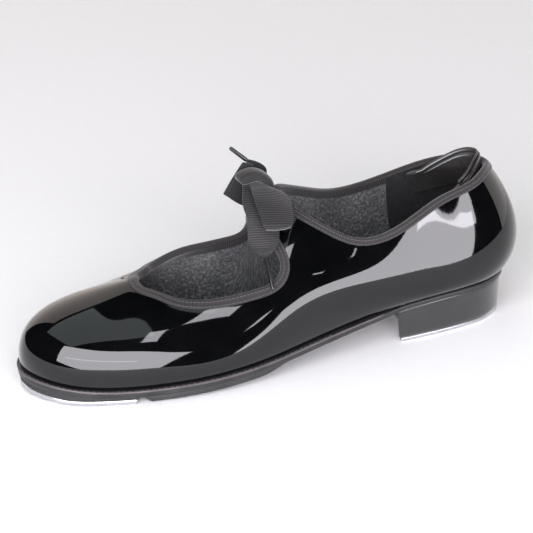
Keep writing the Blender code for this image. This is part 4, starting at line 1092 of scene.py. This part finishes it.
def build_toe_tap(look):
    first, _, outer_x, inner_x = plan(TAP_INSET)
    toe_lift = 15.0  # the tap lifts off the table in front of this
    bevel = 3.2  # length of the ramp at its rear edge

    def lift(s):
        return 1.3 * float(ease((toe_lift - s) / toe_lift))

    def low(s):
        return lift(s) + 1.6 * max(0.0, (s - TAP_REAR + bevel) / bevel) ** 2

    def high(s):
        return lift(s) + TAP_THICK + 0.1

    def narrow(side):
        """The rear corners are cut round."""
        return lambda s: side(s) - np.sign(side(s)) * max(0.0, s - TAP_REAR + 2.0) ** 2 * 0.5

    at = np.concatenate([toe_dense(first, TAP_REAR - 5.0, 60), np.linspace(TAP_REAR - 4.5, TAP_REAR, 14)])
    sides = (narrow(outer_x), narrow(inner_x))
    tap = bottom_plate("toe_tap_plate", at, sides, low, high, look["tap"], 0.9)
    place(tap, TOE, "tap", "toe_tap")
    first, _, *sides = plan(TAP_BOARD_INSET)

    def board_low(s):
        return high(s) + 0.05

    def board_high(s):
        return sole_bottom(s) + 0.05

    at = toe_dense(first, TAP_REAR - 0.3, 60)
    board = bottom_plate("toe_tap_board_layer", at, sides, board_low, board_high, look["tap_board"], 0.2)
    place(board, TOE, "tap_board", "toe_tap_board")


def build_half_sole(look):
    sides = plan(PAD_INSET)[2:]
    front = PAD_FRONT + 4

    def low(s):
        depth = 3.3 * float(ease((PAD_REAR + 1 - s) / 20.0)) * float(ease((s - PAD_FRONT + 3.0) / 5.0))
        return max(sole_bottom(s) - 0.1 - max(depth, 0.45), 0.45)

    def high(s):
        return sole_bottom(s) - 0.02

    at = np.concatenate([np.linspace(PAD_FRONT - 1.0, front, 12)[:-1], np.linspace(front, PAD_REAR, 90)])
    pad = bottom_plate("half_sole_rubber", at, sides, low, high, look["rubber"], 0.8)
    place(pad, "bend", "rubber_pad", "half_sole_pad")


def heel_outline(inset, low, narrow, hollow):
    """Closed outline of the heel seen from above: hollow breast, sides, round back.

    low is 0 at the tap and 1 at the seat."""
    _, end, outer_x, inner_x = plan(HEEL_INSET + inset)
    back = HEEL_REAR - 1.1 + (end - HEEL_REAR + 1.0) * low
    corner = 1.3

    def wall(side, first):
        """From the breast corner to the back."""
        at = heel_dense(first, back, 60)
        source = end - 0.02 - (back - at) * (end - 0.02 - first) / (back - first)
        return [(side(a) * narrow, b) for a, b in zip(source, at)]

    def breast(x):
        return BREAST_CENTRE[1] + math.sqrt((BREAST_RADIUS + hollow) ** 2 - (x - BREAST_CENTRE[0]) ** 2)

    def turn(edge, inward, angles):
        """Rounded corner between the breast and a side."""
        base = breast(edge + inward * corner)
        made = []
        for a in angles:
            x = edge + inward * corner * (1 - math.sin(a))
            made.append((x, base + corner * (1 - math.cos(a)) * 0.7))
        return made

    outer_edge = outer_x(BREAST) * narrow
    inner_edge = inner_x(BREAST + 7) * narrow
    angles = np.linspace(0.3, 1.3, 5)
    made = [(x, breast(x)) for x in np.linspace(inner_edge + corner, outer_edge - corner, 40)]
    made += turn(outer_edge, -1, angles)
    made += wall(outer_x, breast(outer_edge) + corner)
    made += wall(inner_x, breast(inner_edge) + corner)[::-1]
    made += turn(inner_edge, 1, angles[::-1])
    return np.array(made)


def build_heel(look):
    base = HEEL_TAP_THICK + 0.05
    rows = []
    for level in (0.0, 0.025, 0.12, 0.3, 0.5, 0.7, 0.88, 0.975, 1.0):
        tuck = {0.0: 0.35, 1.0: 0.3}.get(level, 0.0)
        ring = heel_outline(tuck, level, HEEL_NARROW + 0.115 * level, 0.0)
        top = np.array([sole_bottom(s) for s in ring[:, 1]]) + 0.1
        rows.append(np.column_stack([ring, base + (top - base) * level]))
    block = loft("heel_block_stack", rows, look["heel"], smooth=45, even=False)
    place(block, REAR, "heel", "heel_block")
    steps = [(0.0, 0.9), (0.12, 0.5), (0.45, 0.15), (0.9, 0.0)]
    steps += [(HEEL_TAP_THICK - 0.7, 0.0), (HEEL_TAP_THICK - 0.2, 0.2), (HEEL_TAP_THICK, 0.6)]
    rows = []
    for z, tuck in steps:
        ring = heel_outline(HEEL_TAP_INSET + tuck, 0.0, HEEL_NARROW, 0.5 + tuck)
        rows.append(np.column_stack([ring, np.full(len(ring), z)]))
    tap = loft("heel_tap_plate", rows, look["tap"], smooth=45, even=False)
    place(tap, REAR, "tap", "heel_tap")


def insole_low(s):
    """Underside of the insole board, on the turned-in margin of the upper."""
    return sole_top(s) + GAP + UPPER_THICK + GAP


def insole_high(s):
    return insole_low(s) + INSOLE_THICK


def build_boards(look):
    """Insole board and bottom filler."""
    first, end, *sides = plan(BOARD_INSET)
    at = toe_to_heel(first, end, 110)
    board = bottom_plate("insole_fibre_board", at, sides, insole_low, insole_high, look["board"], 0.3)
    place(board, "bend", "insole_board", "insole_board")
    first, _, *sides = plan(FILLER_INSET)

    def low(s):
        return sole_top(s) + GAP

    def high(s):
        return low(s) + UPPER_THICK - 0.2

    at = toe_dense(first + 3.5, 118.0, 60)
    filler = bottom_plate("cork_bottom_filler", at, sides, low, high, look["cork"], 0.25)
    place(filler, "bend", "filler", "bottom_filler")


def build_sock(look):
    first, end, *sides = plan(SOCK_INSET)

    def low(s):
        return insole_high(s) + 0.1

    def high(s):
        return low(s) + SOCK_THICK + 0.1

    at = toe_to_heel(first, end, 120)
    sock = bottom_plate("sock_cushion", at, sides, low, high, look["sock"], 0.7, 0.25)
    place(sock, "bend", "sock", "sock_lining")


# ---------------------------------------------------------------- ribbon tie
# Each ribbon: middle of the ribbon and the half-width across it, station by station from the knot out.
NEAR_LOOP = [
    ((4.4, 121.3, 88.1), (0.0, 4.8, -0.6)),
    ((8.7, 124.2, 85.8), (-0.3, 9.2, -2.5)),
    ((15.9, 123.4, 82.4), (-0.4, 9.8, -2.9)),
    ((20.9, 122.8, 77.7), (-0.5, 8.8, -2.1)),
    ((23.1, 122.0, 74.5), (-0.5, 7.5, -1.4)),
    ((19.7, 124.1, 72.6), (-0.9, 7.1, -0.7)),
    ((16.1, 125.5, 78.2), (-1.1, 9.0, -1.5)),
    ((11.2, 125.1, 82.7), (-1.6, 8.8, -1.6)),
    ((7.2, 122.7, 85.0), (-0.8, 5.7, -1.0)),
]
FAR_LOOP = [
    ((-6.4, 123.4, 81.8), (0.2, -3.7, -8.6)),
    ((-6.9, 118.6, 85.5), (0.3, -3.9, -9.5)),
    ((-7.8, 115.0, 87.8), (0.4, -4.8, -8.2)),
    ((-8.8, 113.2, 88.7), (0.5, -5.4, -7.2)),
    ((-11.0, 116.2, 86.3), (0.5, -5.1, -7.6)),
    ((-12.0, 121.5, 82.5), (0.5, -4.5, -8.5)),
    ((-11.0, 125.0, 80.2), (0.4, -4.0, -8.0)),
]
NEAR_TAIL = [
    ((4.5, 117.5, 85.6), (0.1, 5.3, -1.8)),
    ((10.0, 117.3, 81.0), (1.0, 7.2, -1.2)),
    ((14.0, 117.9, 76.2), (1.0, 7.6, -1.3)),
    ((16.9, 117.3, 70.7), (1.9, 7.4, -0.4)),
    ((20.0, 116.2, 64.9), (2.5, 6.3, 0.4)),
    ((19.8, 116.6, 60.2), (0.8, 3.1, 0.0)),
    ((20.0, 117.3, 57.8), (0.2, 0.8, -0.0)),
]
FAR_TAIL = [
    ((-8.7, 127.4, 86.4), (0.3, 3.1, -0.5)),
    ((-9.1, 126.8, 90.6), (0.3, 3.9, -0.1)),
    ((-9.5, 124.0, 94.3), (0.3, 2.5, 0.3)),
    ((-9.6, 120.8, 96.4), (0.1, 0.4, 0.6)),
]
NEAR_TIP = [(20.4, 117.2, 57.5), (27, 115.9, 52.5), (32.2, 115.3, 46.2)]
FAR_TIP = [(-9.7, 120.4, 96.7), (-10.4, 116.4, 100.4), (-11.4, 112.6, 103.9)]
KNOT_ARCH = [(112.0, 91.2), (116.0, 92.1), (121.0, 92.4), (126.0, 89.4), (129.0, 85.2)]  # s, z along the wrap
TAB_HOLES = [(13.8, 130.6, 71.7), (-16.2, 132.8, 72.5)]  # middles of the tab eyelets
STRAP_OUT = 0.78
STRAP_UP = np.array([0.0, -3.0, 5.7])
STRAP_RADIUS = 1.2
# x and size of the rings of the wrap.
KNOT_SIZES = [(3.4, 0.62), (2.7, 0.88), (1.0, 1.0), (-1.5, 1.04), (-3.6, 1.0), (-4.8, 0.88), (-5.4, 0.62)]


def build_ribbon(look):
    rib = look["ribbon"]
    # The knot wrap takes the lighter copy of the ribbon colour: painted light on its top.
    place(loft("ribbon_knot_wrap", knot_rows(56), look["knot"], smooth=60), REAR, "ribbon", "ribbon_knot")
    inside = ((0.5, 121.6, 88.4), (0.0, 4.4, -0.2))
    back = ((1.5, 124.0, 86.6), (0.0, 4.2, -0.2))
    near = band("ribbon_loop_near", [inside] + NEAR_LOOP + [back], 130, rib, 0.9)
    place(near, REAR, "ribbon", "ribbon_loop_left")
    # The far loop, the far tail and the strap take the darker copy of the ribbon colour: painted shade.
    far = band("ribbon_loop_far", FAR_LOOP, 110, look["dark_ribbon"], 0.3)
    place(far, REAR, "ribbon", "ribbon_loop_right")
    start = ((0.5, 116.6, 89.0), (0.0, 3.0, -1.0))
    near_tail = band("ribbon_tail_near", [start] + NEAR_TAIL, 120, rib, 1.2)
    place(near_tail, REAR, "ribbon", "ribbon_tail_left")
    start = ((-4.6, 127.0, 86.6), (0.5, 3.0, -0.4))
    far_tail = band("ribbon_tail_far", [start] + FAR_TAIL, 60, look["dark_ribbon"], 0.5)
    place(far_tail, REAR, "ribbon", "ribbon_tail_right")
    tip = look["tip"]
    place(tip_tube("ribbon_tip_near", NEAR_TIP, tip), REAR, "ribbon_tip", "aglet_left")
    place(tip_tube("ribbon_tip_far", FAR_TIP, tip), REAR, "ribbon_tip", "aglet_right")
    build_strap(look["dark_ribbon"])


def tip_tube(name, path, look):
    """Hard ribbon end: a crimped tube, rounded at its outer end."""
    share = np.linspace(0, 1, 60)
    round_end = np.sqrt(np.clip(1 - ((share - 0.93) / 0.075).clip(0, None) ** 2, 0.06, 1))
    radius = ((1.08 - 0.10 * share) * round_end)[:, None]
    path = smooth_path(path, 60)
    rings = swept(path, np.gradient(path, axis=0), SIDE_GUIDE, 16, radius, radius)
    return loft(name, rings, look, smooth=50)


def build_strap(look):
    """The gathered ribbon under the knot, straight down through both tab eyelets, in the darker ribbon colour
    of painted shade.
    """
    legs = []
    for target in TAB_HOLES:
        u, w = on_last([target])[0]
        middle = last(u, w)
        normal = unit(last(u, w, 1.0) - middle)
        legs.append([middle + normal * rise for rise in (-5.4, -2.0, 1.0, 2.4)])
    start, end = legs[0][-1], legs[1][-1]
    first = start + (start - legs[0][0]) * STRAP_OUT + STRAP_UP
    second = end + (end - legs[1][0]) * STRAP_OUT + STRAP_UP
    arch = []
    for share in np.linspace(0, 1, 12)[1:-1]:
        rest = 1 - share
        near = start * rest**3 + 3 * first * rest * rest * share
        arch.append(near + 3 * second * rest * share * share + end * share**3)
    path = smooth_path(legs[0] + arch + legs[1][::-1], 120)
    rings = swept(path, np.gradient(path, axis=0), SIDE_GUIDE, 48, STRAP_RADIUS, STRAP_RADIUS, 0.22)
    strap = loft("ribbon_strap_gathered", rings, look, smooth=60)
    place(strap, REAR, "ribbon", "ribbon_strap")


def knot_rows(count):
    """Arched wrap over the middle of the bow: rings from its outer to its inner side."""
    line = smooth_path(KNOT_ARCH, count // 2)
    run = unit(np.gradient(line, axis=0))
    up = np.stack([-run[:, 1], run[:, 0]], 1)
    share = np.linspace(-1, 1, len(line))
    middle = line.mean(axis=0)
    rows = []
    for x, size in KNOT_SIZES:
        spread = middle + (line - middle) * (0.86 + 0.14 * size)
        half = KNOT_HALF * size * np.sqrt(np.clip(1.06 - share**4, 0, None))[:, None]
        ring = np.concatenate([spread + up * half, (spread - up * half)[::-1]])
        rows.append([(x, s, z) for s, z in ring])
    return rows


# ---------------------------------------------------------------- kept CAD nodes
def dress_nodes(look):
    """Better materials on the CAD nodes that are shown as they are."""
    steel = ["heel_screw"]
    for kind, count in (("toe_tap_screw", 3), ("heel_tap_screw", 3), ("heel_nail", 4)):
        steel += [f"{kind}_{number}" for number in range(1, count + 1)]
    dressed = {
        "steel": steel,
        "shank": ["shank"],
        "stiffener": ["toe_box", "heel_counter"],
        "eyelet": ["tab_eyelet_left", "tab_eyelet_right"],
    }
    for key, names in dressed.items():
        for name in names:
            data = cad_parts[name].data
            data.materials.clear()
            data.materials.append(look[key])


# ---------------------------------------------------------------- studio
def direction(azimuth, elevation):
    a = math.radians(azimuth)
    e = math.radians(elevation)
    return Vector((math.sin(a) * math.cos(e), -math.cos(a) * math.cos(e), math.sin(e)))


TARGET = Vector((0.0, -0.0034, 0.0433))  # middle of the picture
CAMERA_SIDE = 65.0  # degrees from the toe towards the outer side
CAMERA_UP = 25.0
CAMERA_AWAY = 3.0  # metres
LENS = 418.3
LIGHTS_AIM = Vector((0.0, 0.0, 0.03))
TABLE_RADIUS = 0.62


def build_camera():
    data = bpy.data.cameras.new("camera")
    data.sensor_width = 36.0
    data.lens = LENS
    data.clip_end = 60.0
    camera = bpy.data.objects.new("camera", data)
    back = direction(CAMERA_SIDE, CAMERA_UP)
    camera.location = TARGET + back * CAMERA_AWAY
    camera.rotation_mode = "QUATERNION"
    camera.rotation_quaternion = (-back).to_track_quat("-Z", "Y")
    bpy.context.scene.collection.objects.link(camera)
    bpy.context.scene.camera = camera


def softbox(name, azimuth, elevation, distance, wide, tall, radiance, colour, roll=0.0):
    data = bpy.data.lights.new(name, "AREA")
    data.shape = "RECTANGLE"
    data.size = wide
    data.size_y = tall
    data.energy = radiance * math.pi * wide * tall
    data.color = colour
    light = bpy.data.objects.new(name, data)
    back = direction(azimuth, elevation)
    light.location = LIGHTS_AIM + back * distance
    light.rotation_mode = "QUATERNION"
    turn = Quaternion((0.0, 0.0, 1.0), math.radians(roll))
    light.rotation_quaternion = (-back).to_track_quat("-Z", "Y") @ turn
    light.visible_camera = False
    bpy.context.scene.collection.objects.link(light)
    return light


def build_studio():
    scene = bpy.context.scene
    scene.view_settings.view_transform = "Standard"
    cool = (0.96, 0.94, 1.0)
    softbox("light_front", 59.0, 18.0, 1.3, 1.72, 1.0, 8.8, cool, -17.0)
    softbox("light_front_tube", 57.0, 17.0, 1.25, 1.05, 0.035, 4.5, cool, -6.0)
    softbox("light_side", 118.0, 2.5, 1.3, 0.54, 0.36, 8.8, cool)
    softbox("light_side_top", 126.5, 12.5, 1.3, 0.19, 0.24, 8.8, cool)
    softbox("light_side_tube", 117.5, 28.0, 1.3, 0.018, 0.10, 8.0, cool, 40.0)
    softbox("light_high", 93.5, 54.5, 1.4, 0.13, 0.40, 7.5, cool, -22.0)
    softbox("light_far", -95.0, 29.0, 1.5, 1.5, 1.8, 1.1, (1.0, 0.90, 0.86))
    softbox("light_back", 190.0, 14.0, 1.5, 1.6, 1.1, 1.2, (1.0, 0.96, 0.94))
    ceiling = softbox("light_ceiling", 0.0, 90.0, 1.3, 1.50, 1.20, 1.05, (0.92, 1.0, 1.0))
    ceiling.location = (0.10, -0.52, 1.33)
    ceiling.rotation_quaternion = (1.0, 0.0, 0.0, 0.0)
    world = bpy.data.worlds.new("studio")
    world.use_nodes = True
    scene.world = world
    tree = world.node_tree
    back = tree.nodes["Background"]
    back.inputs["Color"].default_value = (0.012, 0.012, 0.013, 1.0)
    back.inputs["Strength"].default_value = 1.0
    seen = tree.nodes.new("ShaderNodeBackground")
    seen.inputs["Color"].default_value = (1.0, 1.0, 1.0, 1.0)
    path = tree.nodes.new("ShaderNodeLightPath")
    mix = tree.nodes.new("ShaderNodeMixShader")
    tree.links.new(path.outputs["Is Camera Ray"], mix.inputs["Fac"])
    tree.links.new(back.outputs["Background"], mix.inputs[1])
    tree.links.new(seen.outputs["Background"], mix.inputs[2])
    tree.links.new(mix.outputs["Shader"], tree.nodes["World Output"].inputs["Surface"])
    floor = table_top(TABLE_RADIUS)


def table_top(radius):
    """Round white table."""
    points = [(0.0, 0.0, 0.0)]
    faces = []
    rings = 12
    steps = 96
    for r in range(1, rings + 1):
        for k in range(steps):
            angle = 2 * math.pi * k / steps
            points.append((radius * r / rings * math.cos(angle), radius * r / rings * math.sin(angle), 0.0))
    for k in range(steps):
        faces.append([0, 1 + k, 1 + (k + 1) % steps])
    for r in range(rings - 1):
        for k in range(steps):
            m = (k + 1) % steps
            a = 1 + r * steps
            faces.append([a + k, a + steps + k, a + steps + m, a + m])
    mesh = bpy.data.meshes.new("table_top")
    mesh.from_pydata(points, [], faces)
    n = Nodes("white_table")
    fine = n.noise(n.coordinates(uv=False), 300.0, 3.0, 0.6)
    colour = n.grey(fine, (0.3, 0.93), (0.7, 0.95))
    mesh.materials.append(n.finish(colour, 0.9, n.bump(fine, 0.00005, 0.2), Specular_IOR_Level=0.1))
    floor = bpy.data.objects.new("table_top", mesh)
    bpy.context.scene.collection.objects.link(floor)
    return floor


def main():
    build_camera()
    look = looks()
    build_upper(look)
    build_linings(look)
    build_binding(look)
    build_collar(look)
    build_outsole(look)
    build_toe_tap(look)
    build_half_sole(look)
    build_heel(look)
    build_boards(look)
    build_sock(look)
    build_ribbon(look)
    dress_nodes(look)
    build_studio()


main()
